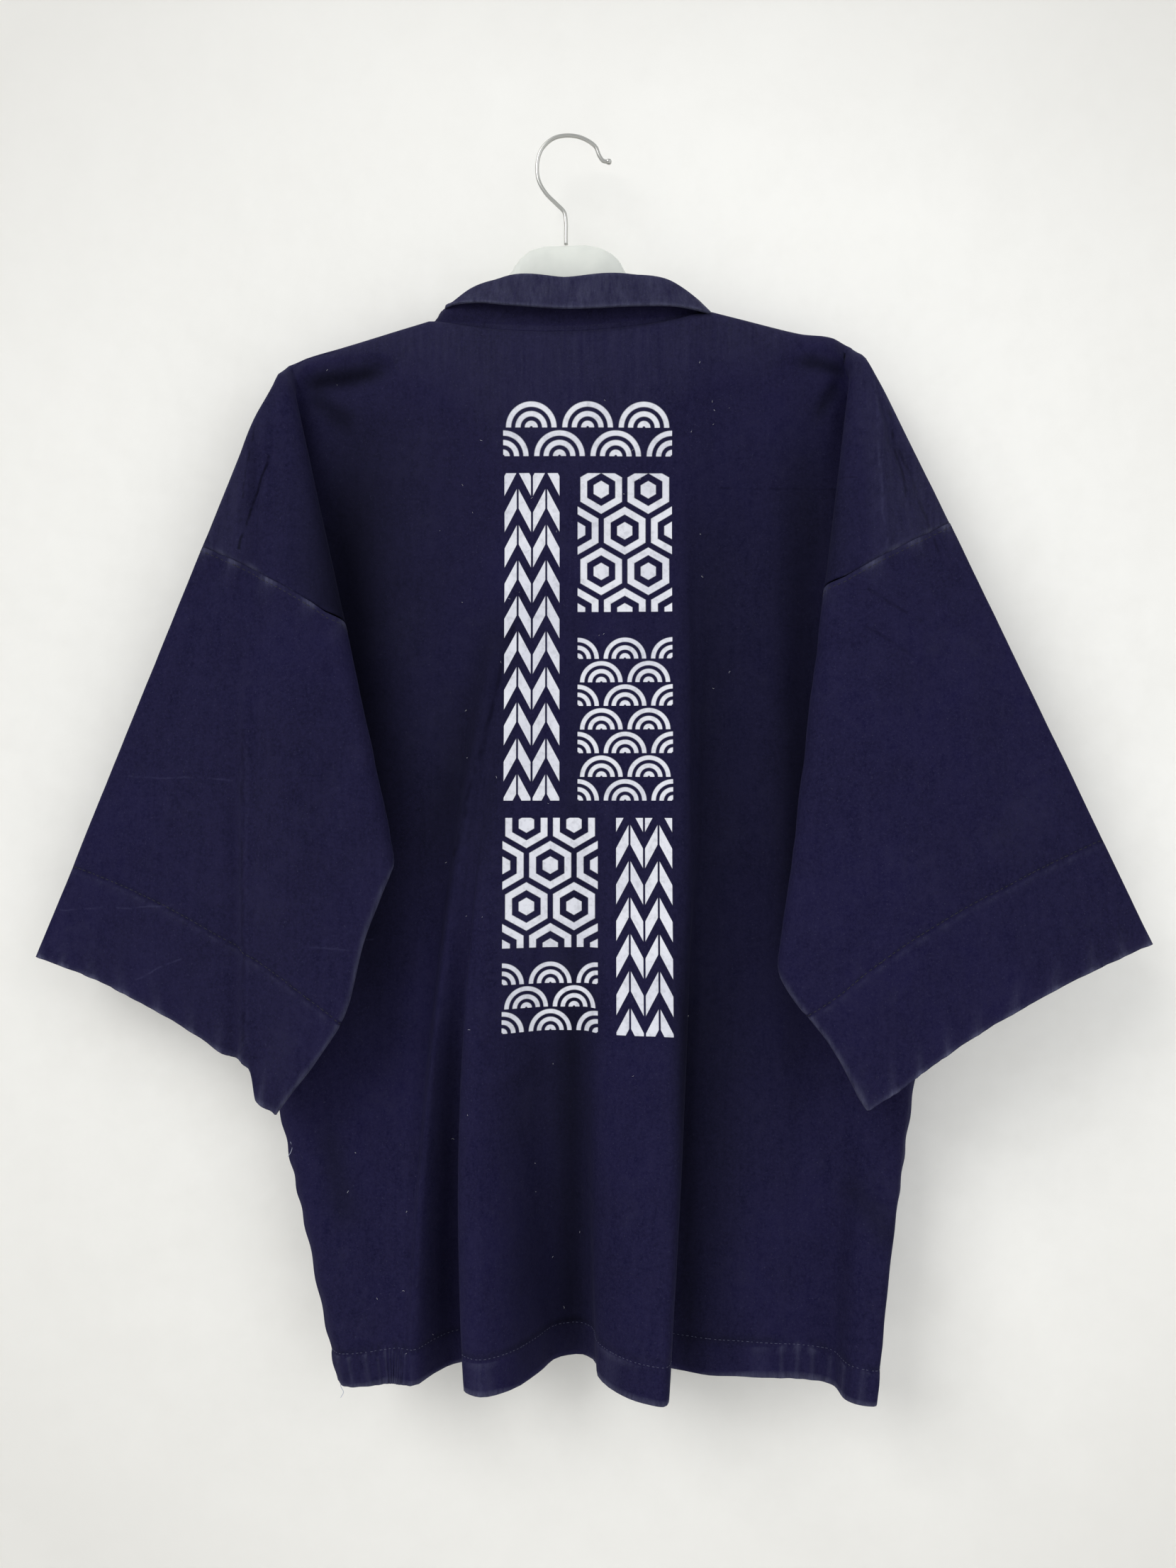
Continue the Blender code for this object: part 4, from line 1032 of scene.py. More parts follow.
# sleeves: ring places, rows between the turns, relief, wear and painted shade beside the cuff stitch
sleeveLook = {
    "near": (0.15, 1.2, 2.6, 4.2, 6.5, 9.5), "far": (6, 3.5, 2, 1, 0), "from": 13, "to": 7,
    "spacing": 3.9, "stitchRings": np.linspace(-5, 5, 11), "stitchClear": 5.5, "underEdge": (5, 1, 2.5, 0.8),
    "parts": (2, 2, 20, 28, 6, 6, 6, 6, 18, 16, 2, 2), "wrinkles": ((0.06, 21, 1.0), (0.024, 31, 0.32)),
    "joinReach": 25, "cuffWaves": (4.3, 1.5, 31), "cuffSlant": 0.6, "cuffRipple": (0, 16, 0.6),
    "stitchWaves": (2.4, 1.4, 17), "stitchGroove": (0, 2.4, -0.55), "stitchPucker": (0, 2.4, 0.18),
    "topEase": 8, "seam": (1.5, 2.2, 0.03), "seamRidges": (1.5, 2.2, 0.22), "seamGlow": (0, 12, 0.05),
    "cuffEdge": (0, 2.0, 0.12), "cuffRidges": (0, 2.0, 0.25), "cuffGlow": (0, 13, 0.08),
    "stitchGrooveShade": (0, 1.1, -0.26), "stitchGrooveShadeWaves": (0, 1.1, -0.16), "stitchPale": (-3.2, 1.8, 0.03),
    "stitchPaleWaves": (-3.2, 1.8, 0.02), "foldEdge": (0, 2.0, 0.22),
}
# the left cuff's edge steps up beside the long crease: rise, drop, reach, then x and its ease
cuffStep = {"rise": 9, "drop": 7, "reach": 28, "up": ((-236, 22), (-213.5, 5)),
            "down": ((-214, 6), (-207, 16))}


def sleeveRows(side, name):
    # rings at every distance along the sleeve: back layer down, cap below, front layer up
    sign, look, shape = side["sign"], sleeveLook, sleeveCut
    edge = backFolds[0] if sign < 0 else backFolds[-1]
    topX, midX, hemX = (edge[i] * mm for i in (1, 2, 3))
    slope = math.radians(side["slope"])
    length = side["length"] * mm
    edgeRows = rowPlan(topX, midX, hemX)[:9]
    start = edgeRows[6]
    ray = math.radians(side["hidden"] - side["wedge"]) - slope
    tangent = np.array([sign * math.cos(slope), 0, -math.sin(slope)])
    upward = np.array([sign * math.sin(slope), 0, math.cos(slope)])
    near = [d * mm for d in look["near"]]
    far = [length - d * mm for d in look["far"]]
    stitchAt = length - hemBand["cuffWidth"][name] * mm
    even = np.arange(look["from"] * mm, length - look["to"] * mm, look["spacing"] * mm)
    alongs = np.concatenate([near, even, far])
    alongs = alongs[np.abs(alongs - stitchAt) > look["stitchClear"] * mm]
    alongs = np.sort(np.concatenate([alongs, stitchAt + look["stitchRings"] * mm]))
    rings, downs = [], []
    for t in alongs:
        bottom = shape["depth"] + (shape["cuffDepth"] - shape["depth"]) * t / length
        one = min(start + t * math.tan(ray), bottom - shape["leastBelowTurn"])
        shift = one - start
        middle = (edgeRows[8] + shift + bottom) / 2
        above, apart, nearEdge, last = (d * mm for d in look["underEdge"])
        rows = np.array(edgeRows[:3] + [edgeRows[3] + shift * 0.5] + [row + shift for row in edgeRows[4:9]]
                        + [middle, max(bottom - above, middle + apart), bottom - nearEdge, bottom - last])
        down = np.concatenate([rows[i] + (rows[i + 1] - rows[i]) * np.arange(k) / k
                               for i, k in enumerate(look["parts"])] + [rows[-1:]])
        x = throughThree(topX, midX, hemX, down / cut["bodyLength"])
        edgePoints = bodyPoint(np.full_like(down, topX), x, np.zeros_like(down), down, 0)
        puff = shape["puff"] * smooth(t / shape["puffEase"]) * np.sin(math.pi * np.clip(down / one, 0, 1))
        seamHalf = growth(cut["layerHalfGap"], shape["seamHalf"], shape["seamHalf"],
                          down / cut["bodyLength"])
        roll = np.sqrt(1 - (1 - down / shape["rollReach"]).clip(0, 1) ** 2)
        closed = np.sqrt(np.clip((bottom - down) / shape["closeReach"], 0, 1))
        gap = np.where(down < 0.1 * mm, 0, roll * (shape["edgeClose"] + (1 - shape["edgeClose"]) * closed))
        share = down / bottom
        stretch = 1 + side["droop"] * share ** 4 - shape["cuffHollow"] * np.sin(math.pi * share)
        swell = shape["lowSwell"] * share ** 3 + shape["turnSwell"] * bell(down - one, shape["turnHalf"])
        base = edgePoints + (t * stretch + swell)[:, None] * tangent
        lower = shape["frontLonger"] * smooth((t - length) / shape["frontEase"] + 1) * np.sin(math.pi * share)
        back, front = base.copy(), base + lower[:, None] * tangent
        back[:, 1] = -(seamHalf + puff) * gap
        front[:, 1] = (seamHalf + puff * shape["frontPuff"]) * gap
        cap = base[-1:] - upward * shape["capDrop"]
        cap[:, 1] = 0
        rings.append(np.concatenate([back, cap, front[:0:-1]]))
        downs.append(np.concatenate([down, [bottom], down[:0:-1]]))
    return np.array(rings), alongs, np.array(downs)


def ringNormals(grid):
    # as normalsOf, round closed rings
    across = np.roll(grid, -1, axis=1) - np.roll(grid, 1, axis=1)
    return unit(np.cross(across, np.gradient(grid, axis=0)))


sleeves, sleeveFaces = {}, {}
for name, side in sides.items():
    look, sign = sleeveLook, side["sign"]
    flatRings, alongs, ringDown = sleeveRows(side, name)
    backLayer = np.arange(flatRings.shape[1])[None, :] < flatRings.shape[1] // 2
    if sign < 0:
        flatRings, ringDown, backLayer = turnedRound(flatRings, ringDown, backLayer)
    midRings = nudge(foldBoth(flatRings), outlineNudges + sleeveNudges)
    fromSeam = alongs[:, None] / mm
    fromCuff = side["length"] - fromSeam
    fromStitch = fromCuff - hemBand["cuffWidth"][name]
    if sign < 0:
        x = midRings[..., 0] / mm
        rise, drop = (smooth((x - on) / ease) * (1 - smooth((x - off) / easeOff))
                      for (on, ease), (off, easeOff) in (cuffStep["up"], cuffStep["down"]))
        stepped = cuffStep["rise"] * rise - cuffStep["drop"] * drop
        midRings[..., 2] += stepped * mm * bell(fromCuff, cuffStep["reach"])
    normal = ringNormals(midRings)
    facing = facingOf(normal)
    ringDown = ringDown / mm
    pucker = waves(ringDown, armhole["waves"])
    ripple = waves(ringDown, look["cuffWaves"], look["cuffSlant"] * fromCuff / look["cuffWaves"][0])
    small = waves(ringDown, look["stitchWaves"])
    apart = smooth(fromSeam / look["joinReach"])
    own = wrinkles(midRings, [(scale, seed + sign, height) for scale, seed, height in look["wrinkles"]])
    relief = creaseField(midRings, creases[name]) * np.clip(-normal[..., 1], 0, 1) * backLayer
    relief += own * apart + wrinkles(midRings, bodyWrinkles) * facing * (1 - apart)
    relief += armholeRelief(fromSeam, pucker) * facing
    relief += ripple * lineOf(fromCuff, look["cuffRipple"]) * mm
    relief += small * lineOf(fromStitch, look["stitchPucker"]) * mm
    relief += lineOf(fromStitch, look["stitchGroove"]) * mm
    relief *= smooth(ringDown / look["topEase"])
    moved = midRings + normal * relief[..., None]
    normal = ringNormals(moved)
    outer, inner = moved + normal * cut["clothHalf"], moved - normal * cut["clothHalf"]
    ridges, crests = np.clip(pucker, 0, 1), np.clip(ripple, 0, 1)
    wearAndShade = (
        lineOf(fromSeam, look["seam"]) + lineOf(fromSeam, look["seamRidges"]) * ridges ** 2
        + lineOf(fromSeam, look["seamGlow"]) * ridges
        + lineOf(fromCuff, look["cuffEdge"]) + lineOf(fromCuff, look["cuffRidges"]) * crests
        + lineOf(fromCuff, look["cuffGlow"]) * crests ** 3
        # painted shade along the cuff stitch's groove
        + lineOf(fromStitch, look["stitchGrooveShade"]) + lineOf(fromStitch, look["stitchGrooveShadeWaves"]) * small
        + lineOf(fromStitch, look["stitchPale"]) + lineOf(fromStitch, look["stitchPaleWaves"]) * small
        + lineOf(ringDown.max(axis=1, keepdims=True) - ringDown, look["foldEdge"]))
    sleeveFaces[name] = (alongs, outer, normal)
    piece = shell("sleeve" + name.capitalize() + "Cloth", outer, inner, [navy, navyInside], wearAndShade,
                  wrap=True)
    sleeves[name] = (piece, areaOf(np.concatenate([midRings, midRings[:, :1]], axis=1)))
    print("sleeve", name, outer.shape, "area", round(sleeves[name][1], 3))

# collar band: x of its seam, fold and free edge round the neck, then down the fronts
neckRows = (
    ("left neck side", -93, (-85, -4.0, -121), (-85.5, -8.5, -122)),
    ("left back side", -74, (-66, -11.5, -111), (-66, -17, -122.5)),
    ("left back", -45, (-44, -15.5, -104.8), (-42, -21.5, -126)),
    ("centre", 0, (0, -17.3, -105.8), (2, -23.5, -129.2)),
    ("right back", 45, (45, -16, -103.4), (45, -22, -127)),
    ("right back side", 76, (69, -12.5, -106.5), (76, -18, -126)),
    ("right neck side", 94.5, (90, -4.5, -117), (98, -9, -127)),
)
chestRows = (
    ("over shoulder", (-98, 10.5, -130.5), (-91, 13.5, -121.5), (-85, 16.5, -123)),
    ("chest top", (-92, 16.5, -150), (-71, 19.5, -152), (-49, 19.5, -160)),
    ("chest", (-87, 17.5, -230), (-57, 20.5, -232), (-28, 20.5, -236)),
    ("chest low", (-77, 18.0, -330), (-46, 21.0, -331), (-16, 21.0, -332)),
    ("waist", (-71, 19.0, -450), (-40, 22.0, -450), (-10, 22.0, -450)),
    ("hem", (-69.5, 24.5, -861), (-39, 26.0, -861), (-9, 26.0, -861)),
)
# collar: wear, and painted shade on the stand under the fall, by the share across the band; its fold is at
# 0.5, the free edge at 1
collarLook = {
    "counts": [30, 20, 16, 14, 10, 8, 8, 10, 12, 14, 14, 12, 10, 8, 8, 10, 14, 30],
    "across": [7, 8, 8, 7], "half": 1.0, "tuck": 1.1, "tuckDown": 1.8, "rightMiddle": (1.5, 60),
    "rightRise": (6, 3.6), "waves": (7, 1, 31), "waveHeight": 0.35, "waveSlant": 3,
    "wrinkles": ((0.05, 41, 0.25),), "foldEdge": (0.5, 0.05, 0.10), "freeEdge": (1, 0.025, 0.20),
    "seamEdge": (0.05, 0.03, 0.20), "fallFrom": 0.40, "fallFade": 0.11, "fallEase": 0.15,
    "standShade": 0.12, "standEase": 0.2, "uneven": (0.03, 47), "unevenShare": 0.5,
}
neck = []
for _, seamX, fold, free in neckRows:
    # the seam edge is tucked just behind the back's neck edge
    back = -neckSetBack(seamX * mm) / mm + collarLook["tuck"]
    height = float(shoulderHeight(np.array(seamX * mm))) / mm - collarLook["tuckDown"]
    neck.append(((seamX, back, height), fold, free))
leftChest = np.array([row[1:] for row in chestRows], dtype=float)
rightChest = leftChest.copy()
shift, ease = collarLook["rightMiddle"]
rightChest[..., 0] = shift * smooth(-leftChest[..., 0] / ease) - leftChest[..., 0]
rightChest[:2, :, 2] += np.array(collarLook["rightRise"])[:, None]
guides = np.concatenate([leftChest[::-1], np.array(neck), rightChest]) * mm
seam, fold, free = (chordSpline(guides[None, :, k], collarLook["counts"])[0] for k in range(3))
path = np.stack([seam, (seam + fold) / 2, fold, (fold + free) / 2, free], axis=1)
band = chordSpline(path, collarLook["across"])
across = np.linspace(0, 1, band.shape[1])[None, :]
run = np.concatenate([[0], np.cumsum(np.linalg.norm(np.diff(fold, axis=0), axis=1))])[:, None] / mm
bandWaves = waves(run, collarLook["waves"], collarLook["waveSlant"] * across)
bandRelief = collarLook["waveHeight"] * mm * bandWaves * np.sin(math.pi * across)
bandRelief = bandRelief + wrinkles(band, collarLook["wrinkles"])
bandOuter, bandInner, bandNormal = thicken(band, bandRelief, collarLook["half"] * mm)
uneven = 1 + collarLook["unevenShare"] * wrinkleNoise(band, *collarLook["uneven"])
outward = across - collarLook["fallFrom"]
# the stand under the fall gets painted shade; the fall is paler with wear
bandWearAndShade = (sum(lineOf(across, collarLook[edge]) for edge in ("foldEdge", "freeEdge", "seamEdge"))
            + uneven * collarLook["fallFade"] * smooth(outward / collarLook["fallEase"])
            - collarLook["standShade"] * smooth(-outward / collarLook["standEase"]))
collarCloth = shell("collarCloth", bandOuter, bandInner, [navy, navyInside], bandWearAndShade)
print("collar", band.shape, "area", round(areaOf(band), 3))

# hanger: distance along, top and underside from the ridge above it, half depth
hangerRows = (
    ("left tip", -190, -5, -13, 2.0), ("left end", -178, -2.0, -24, 8.4),
    ("left arm", -150, -1.3, -18, 5.6), ("left neck", -103, -1.5, -18, 4.6),
    ("left side", -84, -1, -20, 4.2), ("left root", -62, 3, -20, 5),
    ("hump foot left", -43, 38, -21, 5), ("hump left", -35, 50, -22, 5),
    ("hump shoulder left", -28, 56, -22, 5), ("hump top left", -17.5, 59, -22, 5),
    ("hump top", 12, 60, -22, 5), ("hump shoulder right", 22.5, 58, -22, 5),
    ("hump right", 31, 53.5, -22, 5), ("hump side right", 36.5, 47, -21, 5),
    ("hump foot right", 41, 39, -21, 5), ("right root", 62, 3, -20, 5),
    ("right side", 84, -1, -20, 4.2), ("right neck", 104, -1.5, -18, 4.6),
    ("right arm", 150, -1.3, -18, 5.6), ("right end", 179, -2.0, -24, 8.4),
    ("right tip", 191, -5, -13, 2.0),
)

hangerLook = {
    "columns": 150, "humpColumns": 70, "humpReach": 50, "leastStep": 0.45, "rootHeight": -136,
    "around": 28, "corner": 0.9, "ease": (1, 2, 3, 2, 1), "milk": (0.62, 0.64, 0.60, 1),
    "cloud": (0.53, 0.55, 0.52, 1), "bump": (0.0006, 0.25), "bumpNoise": (320.0, 4.0),
    "cloudiness": (30.0, 3.0, 0.5, 0.35, 0.7), "satin": (90.0, 3.0, 0.5, 0.3, 0.7), "roughness": (0.38, 0.55),
}


def stackTube(name, rings, material):
    # closed tube from rings, with a fan of triangles onto each end's centre
    count, around = rings.shape[:2]
    centres = rings[[0, -1]].mean(axis=1)
    faces = gridQuads(count, around, wrap=True).tolist()
    for centre, first in ((count * around, 0), (count * around + 1, (count - 1) * around)):
        faces += [(centre, first + k, first + (k + 1) % around) for k in range(around)]
    mesh = bpy.data.meshes.new(name)
    mesh.from_pydata(np.concatenate([rings.reshape(-1, 3), centres]).tolist(), [], faces)
    mesh.materials.append(material)
    mesh.update()
    mesh.shade_smooth()
    work = bmesh.new()
    work.from_mesh(mesh)
    bmesh.ops.recalc_face_normals(work, faces=work.faces)
    work.to_mesh(mesh)
    work.free()
    obj = bpy.data.objects.new(name, mesh)
    bpy.context.scene.collection.objects.link(obj)
    return obj


def ringsAround(line, one, two, radii):
    # circles round a line: radius times (cos turn * one + sin turn * two)
    turn = np.arange(radii.shape[1]) * 2 * math.pi / radii.shape[1]
    circle = np.cos(turn)[None, :, None] * one[:, None] + np.sin(turn)[None, :, None] * two[:, None]
    return line[:, None] + radii[..., None] * circle


def frostedMaterial():
    # milky plastic: a cloudy base and a fine satin grain
    n, look = Nodes("frostedPlastic"), hangerLook
    return n.finish(n.mix(n.cloud(n.place, look["cloudiness"]), look["milk"], look["cloud"]),
                    (n.noise(n.place, *look["bumpNoise"]), *look["bump"]),
                    Roughness=n.cloud(n.place, look["satin"], *look["roughness"]))


frosted = frostedMaterial()
steel = plainMaterial("steelWire", (0.46, 0.46, 0.44), 0.30, 1.0)
hangerTable = np.array([row[1:] for row in hangerRows]) * mm
spanX, look = hangerTable[:, 0], hangerLook
hump = np.linspace(-look["humpReach"], look["humpReach"], look["humpColumns"]) * mm
fineX = np.unique(np.concatenate([np.linspace(spanX[0], spanX[-1], look["columns"]), hump, spanX]))
fineX = fineX[np.insert(np.diff(fineX) > look["leastStep"] * mm, 0, True)]
kernel = np.array(look["ease"]) / sum(look["ease"])
rows = [np.interp(fineX, spanX, hangerTable[:, k]) for k in (1, 2, 3)]
upper, under, halfY = [np.concatenate([r[:2], np.convolve(r, kernel, "valid"), r[-2:]]) for r in rows]
rootLine = np.where(np.abs(fineX) < cut["neckReach"], look["rootHeight"] * mm, shoulderHeight(fineX))
turn = np.arange(look["around"]) * 2 * math.pi / look["around"]
ringY, ringZ = (np.sign(c) * np.abs(c) ** look["corner"] for c in (np.cos(turn), np.sin(turn)))
hangerRings = np.stack([fineX[:, None] + 0 * turn, halfY[:, None] * ringY,
                        (rootLine + (upper + under) / 2)[:, None] + (upper - under)[:, None] / 2 * ringZ],
                       axis=-1)
hangerPlastic = stackTube("hangerPlastic", hangerRings, frosted)

# hook: centre line x, z, then a melted ball on the end as (distance, radius)
hookLook = {"wire": 1.4, "around": 18, "steps": 8}
hookPoints = ((-2.3, -75.6), (-2.3, -68), (-2.3, -60), (-3.5, -53), (-9, -47), (-16, -40), (-21.3, -31),
              (-22.6, -20), (-19.5, -8.5), (-11, -0.6), (0, 1.4), (11, -1.2), (18.8, -7), (21.6, -13.5),
              (23.8, -16.4), (28.2, -17.2))
ball = np.array([(-1.9, 1.42), (-1.5, 1.75), (-0.9, 1.95), (-0.2, 2.0), (0.5, 1.95), (1.1, 1.6),
                 (1.55, 1.1), (1.85, 0.5)])
hookLine = np.array([(x, 0, z) for x, z in hookPoints]) * mm
hookLine = chordSpline(hookLine[None], [hookLook["steps"]] * (len(hookPoints) - 1))[0]
tangent = unit(np.gradient(hookLine, axis=0))
sideways = np.cross((0, 1, 0), tangent)
hookRadii = np.concatenate([np.full(len(hookLine) - 1, hookLook["wire"]), ball[:, 1]]) * mm
hookLine = np.concatenate([hookLine[:-1], hookLine[-1] + tangent[-1] * ball[:, :1] * mm])
sideways = np.concatenate([sideways[:-1], np.repeat(sideways[-1:], len(ball), axis=0)])
hookRings = ringsAround(hookLine, sideways, np.array([[0, 1, 0]]),
                        np.repeat(hookRadii[:, None], hookLook["around"], axis=1))
hookWire = stackTube("hookWire", hookRings, steel)
print("hanger and hook")

# stitches and lint in millimetres: length, gap, width, height, then the share they vary by
stitchLook = {
    "seam": (2.3, 1.5, 0.6, 0.35, 0.25), "hem": (1.6, 1.6, 0.34, 0.3, 0.25),
    "collar": (1.7, 1.1, 0.4, 0.35, 0.25), "lint": (0.42, 0.02, 0.16, 0.14, 0.1), "seamAt": 3.2,
}


def sampled(at, reach, values):
    # each coordinate, straight between the known points
    return np.stack([np.interp(at, reach, values[:, k]) for k in range(3)], axis=-1)


def dashes(name, runs, material, look):
    # small boxes along polylines: centre, unit direction, unit normal and side for each
    length, gap, width, height = (size * mm for size in look[:4])
    jitter = look[4]
    vertices, quads = [], []
    corner = np.array([(-1, -1, -1), (1, -1, -1), (1, 1, -1), (-1, 1, -1),
                       (-0.8, -0.6, 1), (0.8, -0.6, 1), (0.8, 0.6, 1), (-0.8, 0.6, 1)]) / 2
    sideQuads = np.array([(0, 3, 2, 1), (4, 5, 6, 7), (0, 1, 5, 4), (1, 2, 6, 5), (2, 3, 7, 6),
                          (3, 0, 4, 7)])
    total = 0
    for points, normal in runs:
        reach = np.concatenate([[0], np.cumsum(np.linalg.norm(np.diff(points, axis=0), axis=1))])
        if reach[-1] < length * 2:
            continue
        at = np.arange(length, reach[-1] - length, length + gap)
        at = at + rng.uniform(-jitter, jitter, len(at)) * gap
        sizes = length * rng.uniform(1 - jitter, 1 + jitter, len(at))
        place = sampled(at, reach, points)
        forward = unit(sampled(at + 0.4 * mm, reach, points) - place)
        sideways = unit(np.cross(sampled(at, reach, normal), forward))
        upward = np.cross(forward, sideways)
        box = (corner[None, :, 0, None] * sizes[:, None, None] * forward[:, None]
               + corner[None, :, 1, None] * width * sideways[:, None]
               + corner[None, :, 2, None] * height * upward[:, None])
        vertices.append((place[:, None] + box).reshape(-1, 3))
        quads.append((sideQuads[None] + 8 * np.arange(len(at))[:, None, None]).reshape(-1, 4) + total)
        total += 8 * len(at)
    return meshFrom(name, np.concatenate(vertices), np.concatenate(quads), [material])


def ringLine(name, along):
    # line round a sleeve at one distance along it, read off the outer face
    alongs, outer, normal = sleeveFaces[name]
    i = int(np.clip(np.searchsorted(alongs, along) - 1, 0, len(alongs) - 2))
    f = (along - alongs[i]) / (alongs[i + 1] - alongs[i])
    return outer[i] * (1 - f) + outer[i + 1] * f, normal[i] * (1 - f) + normal[i + 1] * f


def rowLine(outer, normal, down, value):
    # line across the back at one distance down it
    columns = range(outer.shape[1])
    return tuple(np.array([sampled(value, down[:, c], grid[:, c]) for c in columns])
                 for grid in (outer, normal))


seamRuns = [ringLine(name, stitchLook["seamAt"] * mm) for name in sides]
cuffRuns = [ringLine(name, side["length"] * mm - hemBand["cuffWidth"][name] * mm)
            for name, side in sides.items()]
hemLine = rowLine(outerBack, normalBack, backDown, cut["bodyLength"] - hemBand["width"] * mm)
collarTop = (bandOuter[:, 3], bandNormal[:, 3])
seamStitches = dashes("seamStitches", seamRuns + cuffRuns, threadDark, stitchLook["seam"])
hemStitches = dashes("hemStitches", [hemLine], threadMid, stitchLook["hem"])
collarStitches = dashes("collarStitches", [collarTop], threadDark, stitchLook["collar"])
print("stitches")

# lint: count, share of the rows and columns it lies on, length, bend and lift off the cloth
lintLook = {"count": 70, "rowFrom": 0.12, "columns": (0.30, 0.88), "size": (1.0, 2.6), "bend": 0.3,
            "lift": 0.12, "points": 5, "hemRows": 4, "leastFacing": 0.3}
rows, cols = outerBack.shape[:2]
lintRuns = []
for _ in range(lintLook["count"]):
    r = rng.integers(int(rows * lintLook["rowFrom"]), rows - lintLook["hemRows"])
    c = rng.integers(*(int(cols * share) for share in lintLook["columns"]))
    facing = normalBack[r, c]
    if facing[1] > -lintLook["leastFacing"]:
        continue
    heading = rng.uniform(0, 2 * math.pi)
    size = rng.uniform(*lintLook["size"]) * mm
    direction = np.array([math.cos(heading), 0, math.sin(heading)])
    direction -= facing * (direction @ facing)
    t = np.linspace(0, 1, lintLook["points"])[:, None]
    bend = np.cross(facing, direction) * rng.uniform(-lintLook["bend"], lintLook["bend"])
    points = outerBack[r, c] + (direction * t + bend * t * (1 - t) * 4) * size
    points = points + facing * lintLook["lift"] * mm
    lintRuns.append((points, np.repeat(facing[None], lintLook["points"], axis=0)))
lintSpecks = dashes("lintSpecks", lintRuns, lintWhite, stitchLook["lint"])

# loose threads: offsets from their root, in millimetres
threadLook = {
    "radius": 0.18, "around": 6, "steps": 8, "sideHeight": -705,
    "hem": ((2, 0, 3), (1, -1, -2), (3, -1.5, -6), (1, -1, -10)),
    "side": ((0, -0.3, 2), (1.5, -1.2, -1), (0.5, -1.4, -5), (-1.5, -1.3, -8)),
}


def threadTube(name, root, offsets):
    # thin tube along a spline through the offset points
    points = root + np.array(offsets) * mm
    line = chordSpline(points[None], [threadLook["steps"]] * (len(points) - 1))[0]
    ahead = unit(np.gradient(line, axis=0))
    one = unit(np.cross(ahead, (0.1, 1, 0.05)))
    radii = np.full((len(line), threadLook["around"]), threadLook["radius"] * mm)
    return stackTube(name, ringsAround(line, one, np.cross(ahead, one), radii), threadPale)


sideRow = np.argmin(np.abs(outerBack[:, -7, 2] - threadLook["sideHeight"] * mm))
hemThread = threadTube("hemThread", outerBack[-1, -4], threadLook["hem"])
sideThread = threadTube("sideThread", outerBack[sideRow, -7], threadLook["side"])
print("lint and threads")

# declarations
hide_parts("back")
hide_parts("front_left")
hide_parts("front_right")
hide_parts("sleeve_left")
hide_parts("sleeve_right")
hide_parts("collar")
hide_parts("hanger_body")
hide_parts("hanger_hook")
clothPieces = [backCloth, fronts["left"][0], fronts["right"][0], sleeves["left"][0],
               sleeves["right"][0], collarCloth]
trims = [seamStitches, hemStitches, collarStitches, lintSpecks, hemThread, sideThread]
for piece in clothPieces + trims:
    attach(piece, "root")
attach(hangerPlastic, "root")
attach(hookWire, "root")

# plaster: the same kind of layers as the cloth, with a painted light falloff that darkens it away from the
# middle of the picture
plasterLook = {
    "base": (0.85, 0.847, 0.825, 1), "falloffDark": (0.60, 0.59, 0.565, 1), "middle": (0.05, 0.03, -0.45),
    "falloffFrom": 0.36, "falloffTo": 0.70, "falloffShare": 0.80, "roughness": 0.85,
}
plasterLayers = (
    ("patches", 2.2, 6.0, 0.62, 0.36, 0.62, 1.0, (0.765, 0.76, 0.735)),
    ("smears", 9.0, 6.0, 0.7, 0.42, 0.66, 0.30, (0.88, 0.875, 0.855)),
    ("grain", 40.0, 5.0, 0.6, 0.45, 0.75, 0.12, (0.66, 0.65, 0.62)),
)
plaster, look = Nodes("plaster"), plasterLook
wallColour = look["base"]
for row in plasterLayers:
    wallColour = plaster.layer(wallColour, plaster.place, row)
# painted light falloff: darker with the distance from a point on the wall behind the jacket's middle
away = plaster.make("ShaderNodeVectorMath", operation="DISTANCE")
plaster.put(plaster.place, away.inputs[0])
plaster.put(look["middle"], away.inputs[1])
outward = plaster.spread(away.outputs["Value"], look["falloffFrom"], look["falloffTo"], 0.0, look["falloffShare"])
plaster.finish(plaster.mix(outward, wallColour, look["falloffDark"]), Roughness=look["roughness"])
# seen from behind it is clear, and it lets the rear light reach the fronts
clear = plaster.make("ShaderNodeBsdfTransparent")
facingSide = plaster.make("ShaderNodeNewGeometry")
rays = plaster.make("ShaderNodeLightPath")
blend = plaster.make("ShaderNodeMixShader")
unseen = plaster.calc("MAXIMUM", facingSide.outputs["Backfacing"], rays.outputs["Is Shadow Ray"])
for value, socket in zip((unseen, plaster.shader.outputs[0], clear.outputs[0]), blend.inputs):
    plaster.put(value, socket)
plaster.put(blend.outputs[0], plaster.tree.nodes["Material Output"].inputs[0])

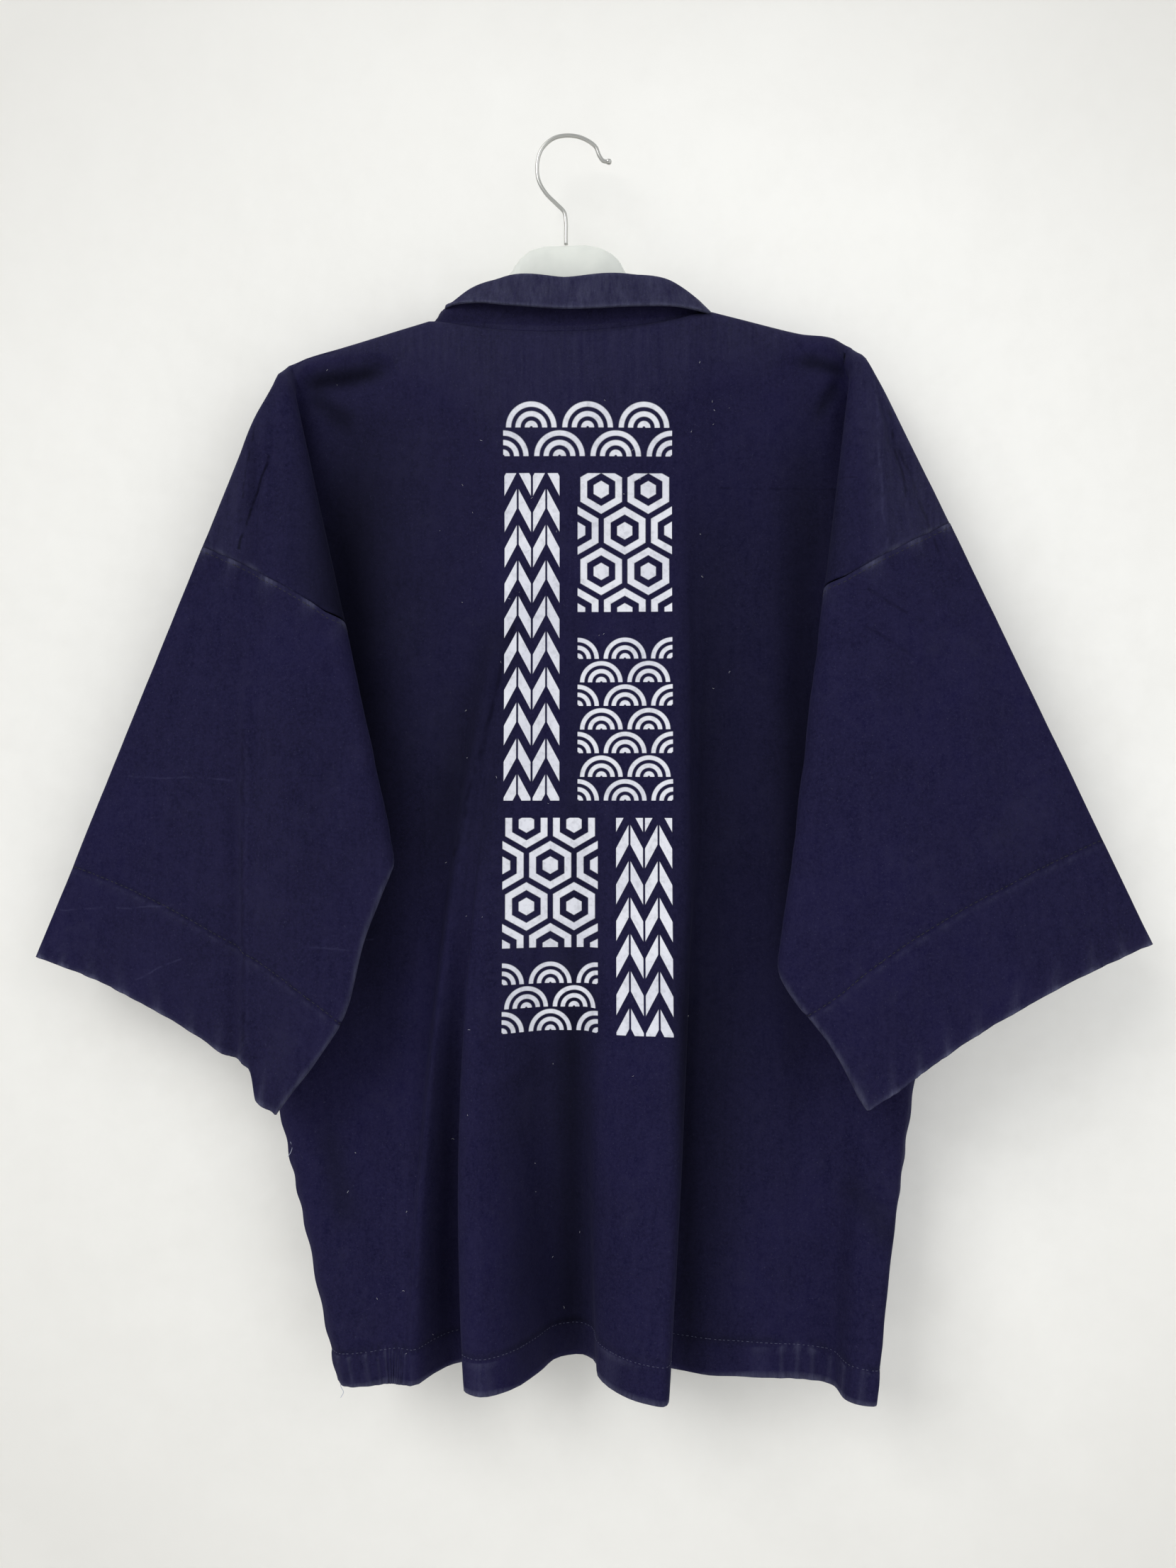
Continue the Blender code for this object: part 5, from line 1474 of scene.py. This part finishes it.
# room in metres: half its width, the wall's place, the floor's and the wall's top
room = {"half": 4, "wallY": 0.031, "floorZ": -1.6, "topZ": 2.4, "skyTint": (0.97, 0.985, 1.0, 1),
        "skyLow": 0.40, "skyHigh": 0.78}
half, wallY, low, high = (room[k] for k in ("half", "wallY", "floorZ", "topZ"))
oneQuad = [(0, 1, 2, 3)]
wallCorners = np.array([(-half, wallY, low), (half, wallY, low), (half, wallY, high), (-half, wallY, high)])
wall = meshFrom("wall", wallCorners, oneQuad, [plaster.material])
floorPaint = plainMaterial("floorPaint", (0.72, 0.715, 0.70), 0.8)
floorCorners = np.array([(-half, -half, low), (half, -half, low), (half, half, low), (-half, half, low)])
floor = meshFrom("floor", floorCorners, oneQuad, [floorPaint])

scene = bpy.context.scene
world = bpy.data.worlds.new("room")
world.use_nodes = True
# sky light: paler from above, by the height of the direction
sky = world.node_tree
height = sky.nodes.new("ShaderNodeSeparateXYZ")
place = sky.nodes.new("ShaderNodeTexCoord")
ramp = sky.nodes.new("ShaderNodeMapRange")
for name, value in (("From Min", -1.0), ("From Max", 1.0), ("To Min", room["skyLow"]),
                    ("To Max", room["skyHigh"])):
    ramp.inputs[name].default_value = value
background = sky.nodes["Background"]
sky.links.new(place.outputs["Generated"], height.inputs[0])
sky.links.new(height.outputs[2], ramp.inputs["Value"])
sky.links.new(ramp.outputs[0], background.inputs[1])
background.inputs[0].default_value = room["skyTint"]
scene.world = world
scene.view_settings.view_transform = "Standard"

# lights: place, size, power and colour, all aimed at the jacket's middle
lightAim = (0, 0, -0.45)
lightRows = (
    ("keyLight", (-5.0, -5.7, 4.4), 4.8, 452, (1.0, 0.995, 0.975)),
    ("fillLight", (4.6, -5.2, 1.6), 5.0, 112, (0.985, 0.99, 1.0)),
    ("rearLight", (2.2, 3.4, 1.6), 2.4, 150, (1.0, 0.99, 0.97)),
)


def areaLight(name, place, size, power, colour):
    # soft square light, turned by the two angles of its direction
    data = bpy.data.lights.new(name, "AREA")
    data.size, data.energy, data.color = size, power, colour
    lamp = bpy.data.objects.new(name, data)
    lamp.location = place
    away = unit(np.array(place) - np.array(lightAim))
    flatReach = math.hypot(away[0], away[1])
    lamp.rotation_euler = (math.atan2(flatReach, away[2]), 0, math.atan2(away[0], -away[1]))
    scene.collection.objects.link(lamp)


for row in lightRows:
    areaLight(*row)

cameraLook = {"place": (0.01325, -0.895, -0.4565), "lens": 29.1, "sensor": 36}
camera = bpy.data.objects.new("camera", bpy.data.cameras.new("camera"))
scene.collection.objects.link(camera)
camera.location = cameraLook["place"]
camera.rotation_euler = (math.pi / 2, 0, 0)
camera.data.lens = cameraLook["lens"]
camera.data.sensor_width = cameraLook["sensor"]
scene.camera = camera

print("done")
